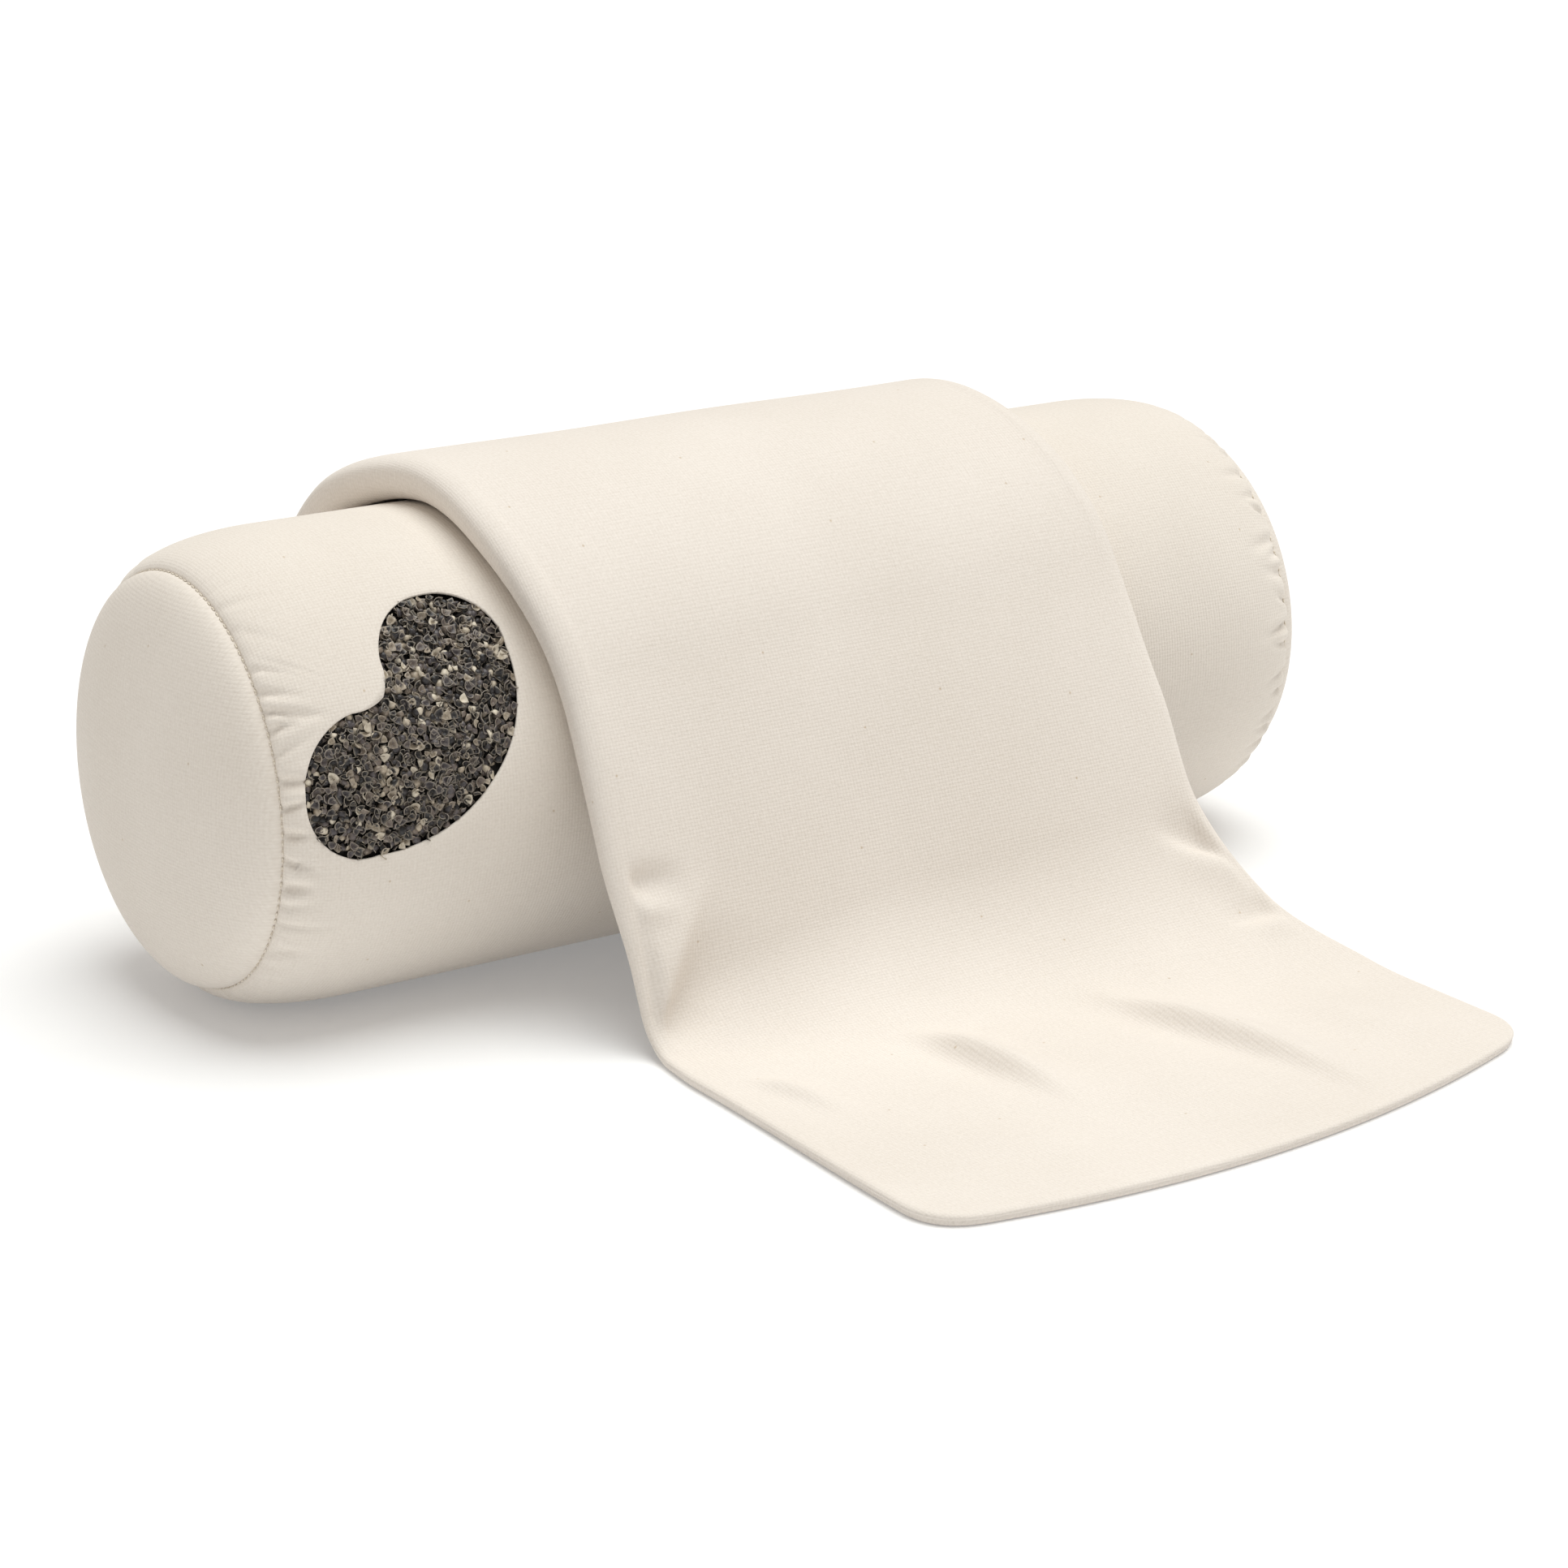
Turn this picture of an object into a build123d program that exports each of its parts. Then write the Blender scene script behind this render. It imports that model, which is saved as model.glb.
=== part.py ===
from build123d import *

import math
import os

# Buckwheat bolster pillow with its spare cover laid over it.
# X runs along the roll's axis, -Y is the front, +Z is up, and Z = 0 is the floor.
# The origin is the centre of the roll's flattened underside.

# ---- the roll ----
ROLL_RADIUS = 75.0
AXIS_HEIGHT = 73.2              # a little under the radius: the filled roll rests on a flat patch
SEAM_X = 192.0                  # end seams, each side of the middle
SEAM_RADIUS = 64.9
SHOULDER_LENGTH = 36.0          # the side panel rounds over this much before each end seam
DOME_DEPTH = 18.6               # how far the end panels bulge past their seams
CLOTH = 1.2                     # casing and cover cloth, with its nap
FILL_GAP = 0.9                  # room for the zip tapes between casing and fill
THREAD_RADIUS = 0.45

# ---- the heart-shaped window ----
WINDOW_X = -150.4
WINDOW_FROM_TOP = 65.7          # degrees forward of the roll's top line
WINDOW_TILT = -44.0             # the tip points down and towards the middle
NOTCH = (-9.4, 0.0)             # the heart's outline, from its middle: X runs towards the tip
NOTCH_END = (-15.2, 9.8)
LOBE_TOP = (-12.4, 38.9)
LOBE_END = (17.0, 38.0)
TIP_START = (28.4, 23.8)
TIP = (34.6, 0.0)
NOTCH_BEND = (-11.0, 4.6)       # a place on the way along each arc
LOBE_INNER_BEND = (-19.3, 22.0)
LOBE_TOP_BEND = (2.0, 45.6)
SIDE_BEND = (23.6, 31.0)
TIP_BEND = (33.4, 11.5)

# ---- the cover, a flat bag draped over the roll ----
DRAPE_GAP = 0.4                 # between the casing and the cover
ROLL_PUFF = 14.0                # height of the empty bag on the roll
FLOOR_PUFF = 5.0                # and where it lies on the floor
REAR_ANGLE = 85.0               # degrees behind the top line to the rear end
UNDER_LEAVES_AT = 53.0          # degrees in front where the under layer leaves the roll
UPPER_LEAVES_AT = 50.0
FLOOR_BEND_RADIUS = 45.0
COVER_LEFT = -110.0
COVER_RIGHT = 109.0
FLOOR_LEFT = -108.0
FLOOR_RIGHT = 129.0
FRONT_MIDDLE_Y = -291.0
FRONT_LEFT_Y = -280.0
FRONT_RIGHT_Y = -262.0
FRONT_CORNER = 18.0

# ---- both zips: number 3 coil chain ----
CHAIN_HALF = 2.1
COIL_HEIGHT = 1.6
COIL_GAP = 0.1                  # each half stops this far from the middle line
TAPE_THICKNESS = 0.7
TAPE_GAP = 0.2                  # from the middle line to each tape
TAPE_REACH = 14.0
SLOT_HALF = 4.5
RUNNING_GAP = 0.3               # slider to chain, and pull tab to slider
SLIDER_LENGTH = 9.0
FLANGE = 1.0
PLATE = 0.9
BAIL_LENGTH = 5.0
BAIL_HEIGHT = 2.4
BAIL_HALF_WIDTH = 0.8
PIN_RADIUS = 0.45
PULL_LENGTH = 22.0
PULL_HALF_WIDTH = 3.2
PULL_CLEARANCE = 1.0            # past each end of the bail, inside the pull tab's eye
PIN_DROP = 0.2                  # the pin sits this far under the middle of the bail
EYE_END = 0.6                   # the pull tab's arms reach this far past the pin
STOP_LENGTH = 2.5

CASING_ZIP_LENGTH = 250.0
CASING_ZIP_X = -8.0             # the middle of the zip
CASING_ZIP_ANGLE = 112.0        # degrees behind the top line
COVER_ZIP_LENGTH = 180.0
COVER_ZIP_ANGLE = 70.0
COVER_ZIP_X = -4.0

LABEL_WIDTH = 25.0
LABEL_DROP = 20.0
LABEL_THICKNESS = 0.5
LABEL_X = 146.0

COVER_RADIUS = ROLL_RADIUS + DRAPE_GAP
CASING_ZIP = (ROLL_RADIUS, CASING_ZIP_ANGLE)
COVER_ZIP = (COVER_RADIUS + ROLL_PUFF, COVER_ZIP_ANGLE)

WIDE = 300.0                    # longer than anything it has to cut
FAR_FRONT = -350.0              # a Y well past the front of the cover


def save(piece, name):
    """Labels a finished piece and writes it as its own STEP file."""
    piece.part.label = name
    export_step(piece.part, f"parts/{name}.step")


def seen_from_side(angle_behind_top):
    """Turns an angle behind the top line into the YZ plane's own angle."""
    return 90.0 - angle_behind_top


# ---------------------------------------------------------------- the roll

def roll_solid(inset):
    """The filled roll, smaller by inset all round, flat where it rests."""
    with BuildPart() as roll:
        with BuildSketch(Plane.XY):
            with BuildLine():
                shoulder_x = SEAM_X - SHOULDER_LENGTH
                shoulder = EllipticalCenterArc((shoulder_x, SEAM_RADIUS - inset), SHOULDER_LENGTH,
                                               ROLL_RADIUS - SEAM_RADIUS, arc_size=90)
                dome = EllipticalCenterArc((SEAM_X, 0), DOME_DEPTH - inset, SEAM_RADIUS - inset,
                                           arc_size=90)
                Line(shoulder @ 1, (0, ROLL_RADIUS - inset))
                Line((0, ROLL_RADIUS - inset), (0, 0))
                Line((0, 0), dome @ 0)
            make_face()
        revolve(axis=Axis.X)
        mirror(about=Plane.YZ)
    with BuildPart() as resting:
        add(roll.part.moved(Location((0, 0, AXIS_HEIGHT))))
        split(bisect_by=Plane.XY.offset(inset), keep=Keep.TOP)
    return resting.part


def end_slab(side, inner_x):
    """A block that holds everything beyond inner_x at one end of the roll."""
    reach = WIDE - inner_x
    return Box(reach, WIDE, WIDE, mode=Mode.PRIVATE).moved(
        Location((side * (inner_x + reach / 2), 0, AXIS_HEIGHT)))


def window_plane():
    """A plane that touches the roll at the window's middle, its x pointing to the heart's tip."""
    turn = math.radians(WINDOW_FROM_TOP)
    tilt = math.radians(WINDOW_TILT)
    return Plane(origin=(WINDOW_X, -ROLL_RADIUS * math.sin(turn), AXIS_HEIGHT + ROLL_RADIUS * math.cos(turn)),
                 x_dir=(math.cos(tilt), math.sin(tilt) * math.cos(turn), math.sin(tilt) * math.sin(turn)),
                 z_dir=(0, -math.sin(turn), math.cos(turn)))


def heart_prism():
    """The window's heart, cut square through the casing: two lobes, a notch and a blunt tip."""
    with BuildPart() as prism:
        with BuildSketch(window_plane()):
            with BuildLine():
                ThreePointArc(NOTCH, NOTCH_BEND, NOTCH_END)
                ThreePointArc(NOTCH_END, LOBE_INNER_BEND, LOBE_TOP)
                ThreePointArc(LOBE_TOP, LOBE_TOP_BEND, LOBE_END)
                ThreePointArc(LOBE_END, SIDE_BEND, TIP_START)
                ThreePointArc(TIP_START, TIP_BEND, TIP)
                mirror(about=Plane.XZ)
            make_face()
        extrude(amount=ROLL_RADIUS / 2, both=True)
    return prism.part


def ring_sector(surface_radius, middle_angle, low, high, start, end):
    """Draws, in the YZ sketch that is open, a piece of a ring about the roll's axis.

    low and high are heights above the cloth's outer face, at surface_radius, and start and end
    are distances round it, downwards at the back, from the zip's middle line.
    """
    def angle(distance):
        return seen_from_side(middle_angle) - math.degrees(distance / surface_radius)

    sweep = angle(end) - angle(start)
    with BuildLine(Plane.XY) as edges:
        inner = CenterArc((0, AXIS_HEIGHT), surface_radius + low, angle(start), sweep)
        outer = CenterArc((0, AXIS_HEIGHT), surface_radius + high, angle(start), sweep)
        Line(inner @ 0, outer @ 0)
        Line(inner @ 1, outer @ 1)
    make_face(edges.line)


def zip_slot(zip_line, middle_x, length):
    """The opening in the cloth that shows the chain."""
    with BuildPart() as slot:
        with BuildSketch(Plane.YZ.offset(middle_x)):
            ring_sector(*zip_line, -2 * CLOTH, CLOTH, -SLOT_HALF, SLOT_HALF)
        extrude(amount=length / 2, both=True)
    return slot.part


def make_casing():
    """The side panel and the two end panels, cut from one hollow shell at the end seams."""
    outer = roll_solid(0)
    inner = roll_solid(CLOTH)
    window = heart_prism()
    slot = zip_slot(CASING_ZIP, CASING_ZIP_X, CASING_ZIP_LENGTH + 2 * STOP_LENGTH)
    left_end = end_slab(-1, SEAM_X)
    right_end = end_slab(1, SEAM_X)

    with BuildPart() as side_panel:
        add(outer)
        for cut in (inner, left_end, right_end, window, slot):
            add(cut, mode=Mode.SUBTRACT)
    save(side_panel, "casing_side_panel")

    for end, name in ((left_end, "casing_left_end_panel"), (right_end, "casing_right_end_panel")):
        with BuildPart() as end_panel:
            add(outer)
            add(inner, mode=Mode.SUBTRACT)
            add(end, mode=Mode.INTERSECT)
        save(end_panel, name)


def make_end_seam_stitching():
    """A ring of thread in the crease where each end panel meets the side panel."""
    for side, name in ((-1, "casing_left_seam_stitching"), (1, "casing_right_seam_stitching")):
        with BuildPart() as stitching:
            with BuildSketch(Plane.XZ):
                with Locations((side * (SEAM_X + THREAD_RADIUS), AXIS_HEIGHT + SEAM_RADIUS + THREAD_RADIUS)):
                    Circle(THREAD_RADIUS)
            revolve(axis=Axis((0, 0, AXIS_HEIGHT), (1, 0, 0)))
        save(stitching, name)


def make_long_seam_stitching():
    """Thread that closes the long seam from each end of the zip to the shoulder."""
    shoulder_x = SEAM_X - SHOULDER_LENGTH
    with BuildPart() as stitching:
        for side in (-1, 1):
            zip_end = CASING_ZIP_X + side * (CASING_ZIP_LENGTH / 2 + 2 * STOP_LENGTH)
            with BuildSketch(Plane.YZ.offset(zip_end)):
                ring_sector(*CASING_ZIP, 0, THREAD_RADIUS, -THREAD_RADIUS, THREAD_RADIUS)
            extrude(amount=side * shoulder_x - zip_end)
    save(stitching, "casing_long_seam_stitching")


def make_fill():
    """The loose hulls as one mass, and the bed of hulls that shows flush in the window."""
    outer = roll_solid(0)
    inner = roll_solid(CLOTH + FILL_GAP)
    window = heart_prism()

    with BuildPart() as fill:
        add(inner)
    save(fill, "hull_fill")

    with BuildPart() as bed:
        add(outer)
        add(inner, mode=Mode.SUBTRACT)
        add(window, mode=Mode.INTERSECT)
    save(bed, "window_hulls")


def make_care_label():
    """A blank label that comes out of the long seam and lies on the side panel."""
    with BuildPart() as label:
        with BuildSketch(Plane.YZ.offset(LABEL_X)):
            ring_sector(*CASING_ZIP, 0, LABEL_THICKNESS, 2 * THREAD_RADIUS, LABEL_DROP)
        extrude(amount=LABEL_WIDTH / 2, both=True)
    save(label, "care_label")


# ---------------------------------------------------------------- the cover

def tangent_point(radius, angle):
    """The point on a circle about the roll's axis, angle degrees in front of its top."""
    turn = math.radians(angle)
    return (-radius * math.sin(turn), AXIS_HEIGHT + radius * math.cos(turn))


def floor_point(radius, angle, height):
    """Where the straight run that leaves the circle at angle comes down to height."""
    turn = math.radians(angle)
    y, z = tangent_point(radius, angle)
    return (y - (z - height) / math.tan(turn), height)


def drape_solid(low, high, rear_inset):
    """The drape's side view carried across X, from level low to level high through the bag.

    Level 0 is the under face and level 1 the upper face. The side view is an arc over the roll,
    a straight run, a bend and a run along the floor.
    """
    def path(level):
        radius = COVER_RADIUS + level * ROLL_PUFF
        leaves_at = UNDER_LEAVES_AT + level * (UPPER_LEAVES_AT - UNDER_LEAVES_AT)
        height = level * FLOOR_PUFF
        rear = seen_from_side(REAR_ANGLE) + math.degrees(rear_inset / radius)
        over = CenterArc((0, AXIS_HEIGHT), radius, rear, seen_from_side(-leaves_at) - rear)
        run = FilletPolyline(tangent_point(radius, leaves_at), floor_point(radius, leaves_at, height),
                             (FAR_FRONT, height), radius=FLOOR_BEND_RADIUS)
        return over, run

    with BuildPart() as drape:
        with BuildSketch(Plane.YZ):
            with BuildLine():
                under, under_run = path(low)
                upper, upper_run = path(high)
                Line(under @ 0, upper @ 0)
                Line(under_run @ 1, upper_run @ 1)
            make_face()
        extrude(amount=WIDE / 2, both=True)
    return drape.part


def cover_outline(inset):
    """The cover's outline from above, carried up through it, smaller by inset."""
    with BuildPart() as outline:
        with BuildSketch(Plane.XY.offset(-CLOTH)):
            with BuildLine():
                left = Polyline((COVER_LEFT, 2 * ROLL_RADIUS), (COVER_LEFT, -ROLL_RADIUS),
                                (FLOOR_LEFT, -2 * ROLL_RADIUS), (FLOOR_LEFT, FRONT_LEFT_Y))
                front = ThreePointArc(left @ 1, ((FLOOR_LEFT + FLOOR_RIGHT) / 2, FRONT_MIDDLE_Y),
                                      (FLOOR_RIGHT, FRONT_RIGHT_Y))
                Polyline(front @ 1, (FLOOR_RIGHT, -2 * ROLL_RADIUS), (COVER_RIGHT, -ROLL_RADIUS),
                         (COVER_RIGHT, 2 * ROLL_RADIUS), left @ 0)
            face = make_face()
            fillet(face.vertices().group_by(Axis.Y)[0] + face.vertices().group_by(Axis.Y)[1],
                   FRONT_CORNER)
            offset(amount=-inset, kind=Kind.INTERSECTION)
        extrude(amount=WIDE)
    return outline.part


def cover_block(low, high, inset):
    """The bag between two levels, smaller by inset along its rear end and its outline."""
    drape = drape_solid(low, high, inset)
    outline = cover_outline(inset)
    with BuildPart() as block:
        add(drape)
        add(outline, mode=Mode.INTERSECT)
    return block.part


def make_cover():
    """The bag's two layers, which meet along the side folds, the front seam and the rear end."""
    wall_on_roll = CLOTH / ROLL_PUFF
    slot = zip_slot(COVER_ZIP, COVER_ZIP_X, COVER_ZIP_LENGTH + 2 * STOP_LENGTH)

    whole_upper = cover_block(0.5, 1.0, 0)
    room_in_upper = cover_block(0.5, 1 - wall_on_roll, CLOTH)
    with BuildPart() as upper_layer:
        add(whole_upper)
        add(room_in_upper, mode=Mode.SUBTRACT)
        add(slot, mode=Mode.SUBTRACT)
    save(upper_layer, "cover_upper_layer")

    whole_lower = cover_block(0.0, 0.5, 0)
    room_in_lower = cover_block(wall_on_roll, 0.5, CLOTH)
    with BuildPart() as lower_layer:
        add(whole_lower)
        add(room_in_lower, mode=Mode.SUBTRACT)
    save(lower_layer, "cover_lower_layer")


# ---------------------------------------------------------------- the zips

def make_zip_chain(prefix, zip_line, middle_x, length):
    """Two tapes under the cloth, two half chains in the slot and a stop at each end."""
    tape_top = -CLOTH
    for side, half in ((-1, "upper"), (1, "lower")):
        with BuildPart() as tape:
            with BuildSketch(Plane.YZ.offset(middle_x)):
                ring_sector(*zip_line, tape_top - TAPE_THICKNESS, tape_top,
                            side * TAPE_GAP, side * TAPE_REACH)
            extrude(amount=length / 2 + 3 * STOP_LENGTH, both=True)
        save(tape, f"{prefix}_{half}_tape")

        with BuildPart() as coil:
            with BuildSketch(Plane.YZ.offset(middle_x)):
                ring_sector(*zip_line, tape_top, tape_top + COIL_HEIGHT,
                            side * COIL_GAP, side * CHAIN_HALF)
            extrude(amount=length / 2, both=True)
        save(coil, f"{prefix}_{half}_coil")

    for side, which in ((1, "closed_end_stop"), (-1, "open_end_stop")):
        with BuildPart() as stop:
            with BuildSketch(Plane.YZ.offset(middle_x + side * (length + STOP_LENGTH) / 2)):
                ring_sector(*zip_line, tape_top, tape_top + COIL_HEIGHT, -CHAIN_HALF, CHAIN_HALF)
            extrude(amount=STOP_LENGTH / 2, both=True)
        save(stop, f"{prefix}_{which}")


def slider_plane(zip_line, slider_x):
    """A plane on the cloth at the slider: its x is +X and its z points out of the cloth."""
    radius, angle = zip_line
    turn = math.radians(angle)
    return Plane(origin=(slider_x, radius * math.sin(turn), AXIS_HEIGHT + radius * math.cos(turn)),
                 x_dir=(1, 0, 0), z_dir=(0, math.sin(turn), math.cos(turn)))


def make_slider(prefix, zip_line, slider_x):
    """The slider, a plate with two flanges over the chain and a bail, and its pull tab."""
    chain_top = COIL_HEIGHT - CLOTH
    plate_low = chain_top + RUNNING_GAP
    plate_top = plate_low + PLATE
    flange_in = CHAIN_HALF + RUNNING_GAP
    pin_height = plate_top + BAIL_HEIGHT / 2 - PIN_DROP
    on_cloth = slider_plane(zip_line, slider_x)

    with BuildPart() as slider:
        with BuildSketch(Plane.YZ.offset(slider_x)):
            ring_sector(*zip_line, plate_low, plate_top, -flange_in - FLANGE, flange_in + FLANGE)
            for side in (-1, 1):
                ring_sector(*zip_line, -CLOTH + RUNNING_GAP, plate_top,
                            side * flange_in, side * (flange_in + FLANGE))
        extrude(amount=SLIDER_LENGTH / 2, both=True)
        with BuildSketch(on_cloth.offset(plate_low + PLATE / 2)):
            Rectangle(BAIL_LENGTH, 2 * BAIL_HALF_WIDTH)
        extrude(amount=PLATE / 2 + BAIL_HEIGHT)
        with BuildSketch(on_cloth.offset(pin_height - PIN_RADIUS - RUNNING_GAP)):
            Rectangle(BAIL_LENGTH - 2 * PLATE, 4 * BAIL_HALF_WIDTH)
        extrude(amount=2 * (PIN_RADIUS + RUNNING_GAP), mode=Mode.SUBTRACT)
    save(slider, f"{prefix}_slider")

    arm_in = BAIL_HALF_WIDTH + RUNNING_GAP
    arm_out = PULL_HALF_WIDTH
    clear_of_bail = BAIL_LENGTH / 2 + PULL_CLEARANCE
    with BuildPart() as pull_tab:
        with BuildSketch(on_cloth.offset(pin_height - PIN_RADIUS)):
            with Locations(((PULL_LENGTH - EYE_END) / 2, 0)):
                RectangleRounded(PULL_LENGTH + EYE_END, 2 * arm_out, EYE_END)
            Rectangle(2 * clear_of_bail, 2 * arm_in, mode=Mode.SUBTRACT)
        extrude(amount=2 * PIN_RADIUS)
        with BuildSketch(Plane(origin=on_cloth.origin + on_cloth.z_dir * pin_height,
                               x_dir=(1, 0, 0), z_dir=on_cloth.y_dir)):
            Circle(PIN_RADIUS)
        extrude(amount=arm_in + PIN_RADIUS, both=True)
    save(pull_tab, f"{prefix}_pull_tab")


def main():
    os.makedirs("parts", exist_ok=True)
    make_casing()
    make_end_seam_stitching()
    make_long_seam_stitching()
    make_fill()
    make_care_label()
    make_cover()
    end_room = SLIDER_LENGTH / 2 + RUNNING_GAP
    make_zip_chain("casing_zip", CASING_ZIP, CASING_ZIP_X, CASING_ZIP_LENGTH)
    make_slider("casing_zip", CASING_ZIP, CASING_ZIP_X + CASING_ZIP_LENGTH / 2 - end_room)
    make_zip_chain("cover_zip", COVER_ZIP, COVER_ZIP_X, COVER_ZIP_LENGTH)
    make_slider("cover_zip", COVER_ZIP, COVER_ZIP_X + COVER_ZIP_LENGTH / 2 - end_room)


main()
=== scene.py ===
"""Buckwheat bolster pillow in an undyed canvas casing, with its spare cover laid over it.

Everything is in metres, in the frame of the CAD model: X along the roll, -Y the front, Z up from
the floor. On the roll a place is (x, angle), with the angle counted from the top line towards the
front. On the cover a place is (x, v), with v the length of cloth from the top line to the front.
"""

import math

import bmesh
import bpy
import numpy as np
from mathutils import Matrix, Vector


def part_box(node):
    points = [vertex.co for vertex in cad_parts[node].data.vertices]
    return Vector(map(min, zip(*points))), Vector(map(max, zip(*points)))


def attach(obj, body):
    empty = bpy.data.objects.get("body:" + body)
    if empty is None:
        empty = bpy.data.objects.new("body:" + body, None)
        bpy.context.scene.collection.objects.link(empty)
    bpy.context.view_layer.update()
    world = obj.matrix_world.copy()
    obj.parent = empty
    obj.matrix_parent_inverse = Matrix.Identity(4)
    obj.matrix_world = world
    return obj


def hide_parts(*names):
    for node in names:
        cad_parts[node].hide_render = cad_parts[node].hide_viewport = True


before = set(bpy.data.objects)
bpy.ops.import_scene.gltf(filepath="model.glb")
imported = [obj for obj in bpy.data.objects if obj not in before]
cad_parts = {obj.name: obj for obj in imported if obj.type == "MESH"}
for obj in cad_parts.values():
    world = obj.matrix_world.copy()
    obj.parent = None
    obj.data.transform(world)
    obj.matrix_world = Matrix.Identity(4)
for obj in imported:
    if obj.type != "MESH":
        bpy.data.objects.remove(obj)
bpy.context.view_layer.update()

MM = 0.001
TURN = 2 * math.pi

# ---- sizes that come from the frame ----
side_low, side_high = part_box("casing_side_panel")
end_low, end_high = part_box("casing_right_end_panel")

ROLL_RADIUS = (side_high.y - side_low.y) / 2
AXIS_HEIGHT = side_high.z - ROLL_RADIUS
SEAM_X = side_high.x
SEAM_RADIUS = (end_high.y - end_low.y) / 2
DOME_DEPTH = end_high.x - end_low.x
SHOULDER_LENGTH = 36 * MM
SHOULDER_X = SEAM_X - SHOULDER_LENGTH
CLOTH = 1.2 * MM                     # the canvas with its turned hems, as thick as in the CAD model

# ---- the roll's relief ----
FLOOR_SOFTNESS = 1.4 * MM            # how gently the underside meets the floor
LUMP_DEPTH = 0.4 * MM                # slow unevenness of the hulls under the cloth
PLEAT_SPACING = 7.2 * MM             # gathers beside the end seams
PLEAT_DEPTH = 3.0 * MM
PLEAT_LENGTH = 16 * MM
PLEAT_RISE = 1.3 * MM                # a gather is at its depth this far from the seam
PLEAT_LEAST = 0.30                   # share of the depth that the gathers keep far from the strongest ones
TOP_CALM = 0.85                      # share of the depth that they lose at the top line
TOP_CALM_SPREAD = 0.55               # and how far round, in radians, that reaches
LONG_SEAM_DEPTH = 0.8 * MM
LONG_SEAM_WIDTH = 1.6 * MM
DISC_PLEAT_DEPTH = 0.5 * MM
DISC_PLEAT_SHIFT = 0.04              # an end panel's gathers lie this angle beside the side panel's
DISC_SAG = 0.13                      # the hulls settle, so an end bulges more below its middle
DISC_BULGE = 0.985                   # share of the CAD dome's depth that an end panel takes
DISC_FULLNESS = 0.92                 # power of the dome's cosine: under 1 it is flatter at its middle
PRESSED_LINE_DEPTH = 0.28 * MM       # a faint line that packing left on the left end panel
PRESSED_LINE_WIDTH = 0.8 * MM

# ---- the heart window: its middle, and half of its outline from the notch round to the tip, in mm ----
WINDOW_X = -150.4 * MM
WINDOW_ANGLE = math.radians(65.7)
WINDOW_TILT = math.radians(-44.0)
HEART_MIDDLE = 5.0 * MM
HEM_SINK = 0.25 * MM                 # the cloth sinks a little towards the window's edge
HEM_TURN = 0.8 * MM                  # and its hem turns this far under
HEART_ARCS = (                       # start, a place on the way, and end of each arc
    ((-9.4, 0.0), (-11.0, 4.6), (-15.2, 9.8)),
    ((-15.2, 9.8), (-19.3, 22.0), (-12.4, 38.9)),
    ((-12.4, 38.9), (2.0, 45.6), (17.0, 38.0)),
    ((17.0, 38.0), (23.6, 31.0), (28.4, 23.8)),
    ((28.4, 23.8), (33.4, 11.5), (34.6, 0.0)),
)

# ---- the hulls ----
HULL_SPACING = 2.1 * MM
HULL_RADIUS = 1.5 * MM
HULL_WALL = 0.16 * MM
HULL_LAYERS = (1.6 * MM, 2.7 * MM)   # depth of each loose layer under the cloth's face
HULL_JITTER = 0.42                   # how far a hull may lie off its grid place, in spacings
HULL_MARGIN = 0.4 * MM               # the hulls stay this far inside the window's edge
HULL_FIELD = 48 * MM                 # half width of the grid of places, past the heart's tip
CORE_DEPTH = 3.9 * MM                # the dark mass lies this deep under the casing's face
CORE_DIMPLES = 0.4 * MM

# ---- the cover ----
DRAPE_RADIUS = ROLL_RADIUS + 0.4 * MM
COVER_REAR = -112 * MM               # v of the rear end
ROLL_THICKNESS = 14 * MM             # the empty bag is this thick on the roll
FLOOR_THICKNESS = 3.8 * MM           # and this thick where it lies on the floor
FOLD_HEIGHT = 0.68                   # the folds stand out furthest at this share of the thickness
COVER_LEFT = -110.6 * MM
COVER_RIGHT = 110.0 * MM
FLOOR_RIGHT = 132.0 * MM
TOUCH_LEFT = 118 * MM                # how far in front of the roll's axis the cloth touches down
TOUCH_RIGHT = 140 * MM
TOUCH_FROM, TOUCH_WIDTH = -108 * MM, 237 * MM    # x of TOUCH_LEFT, and the way from there to TOUCH_RIGHT
BEND_LEFT = 14 * MM                  # radius of its bend onto the floor
BEND_MIDDLE = 70 * MM
BEND_RIGHT = 110 * MM
BEND_X, BEND_REACH = 10 * MM, 118 * MM           # x of BEND_MIDDLE, and the way from there to each side
FRONT_EDGE = ((-100 * MM, -276 * MM), (-16 * MM, -285 * MM), (102 * MM, -265.5 * MM))
FRONT_CORNER = 16 * MM
REAR_CORNER = 12 * MM
COVER_STEP = 1.9 * MM                # size of one face
PAST_FRONT = 400 * MM                # any v past the front edge, where a side fold wanders no more
OUTLINE_POINTS = 600
CORNER_POINTS = 40
SWELL_DEPTH = 0.30 * MM
EDGE_FADE = 8 * MM                   # relief fades over this width towards the round folds
GROOVE_DEPTH = 0.45 * MM             # a line pressed into the round fold, low on its side
GROOVE_TURN, GROOVE_SPREAD = 1.9, 0.16
LAYER_GAP = 0.25 * MM                # the under layer lies this far above the drape's own surface
LAYER_GAP_MOST = 1.2 * MM            # and this far where a fold lifts it

# How the left fold wanders: by how much, and the v where that begins and where it is whole, all in mm.
# It leans out behind the roll, draws in down the front and runs out again on the floor.
LEFT_SHIFTS = ((-8, 5, -45), (8.2, 28, 98), (2.7, 140, 178), (-2.9, 196, 232), (-3.5, 228, 345))
RIGHT_LEAN = 6.5 * MM                # the right fold leans in behind the top line
RIGHT_PINCH = 4.5 * MM               # and is pinched where the cloth bends onto the floor

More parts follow.
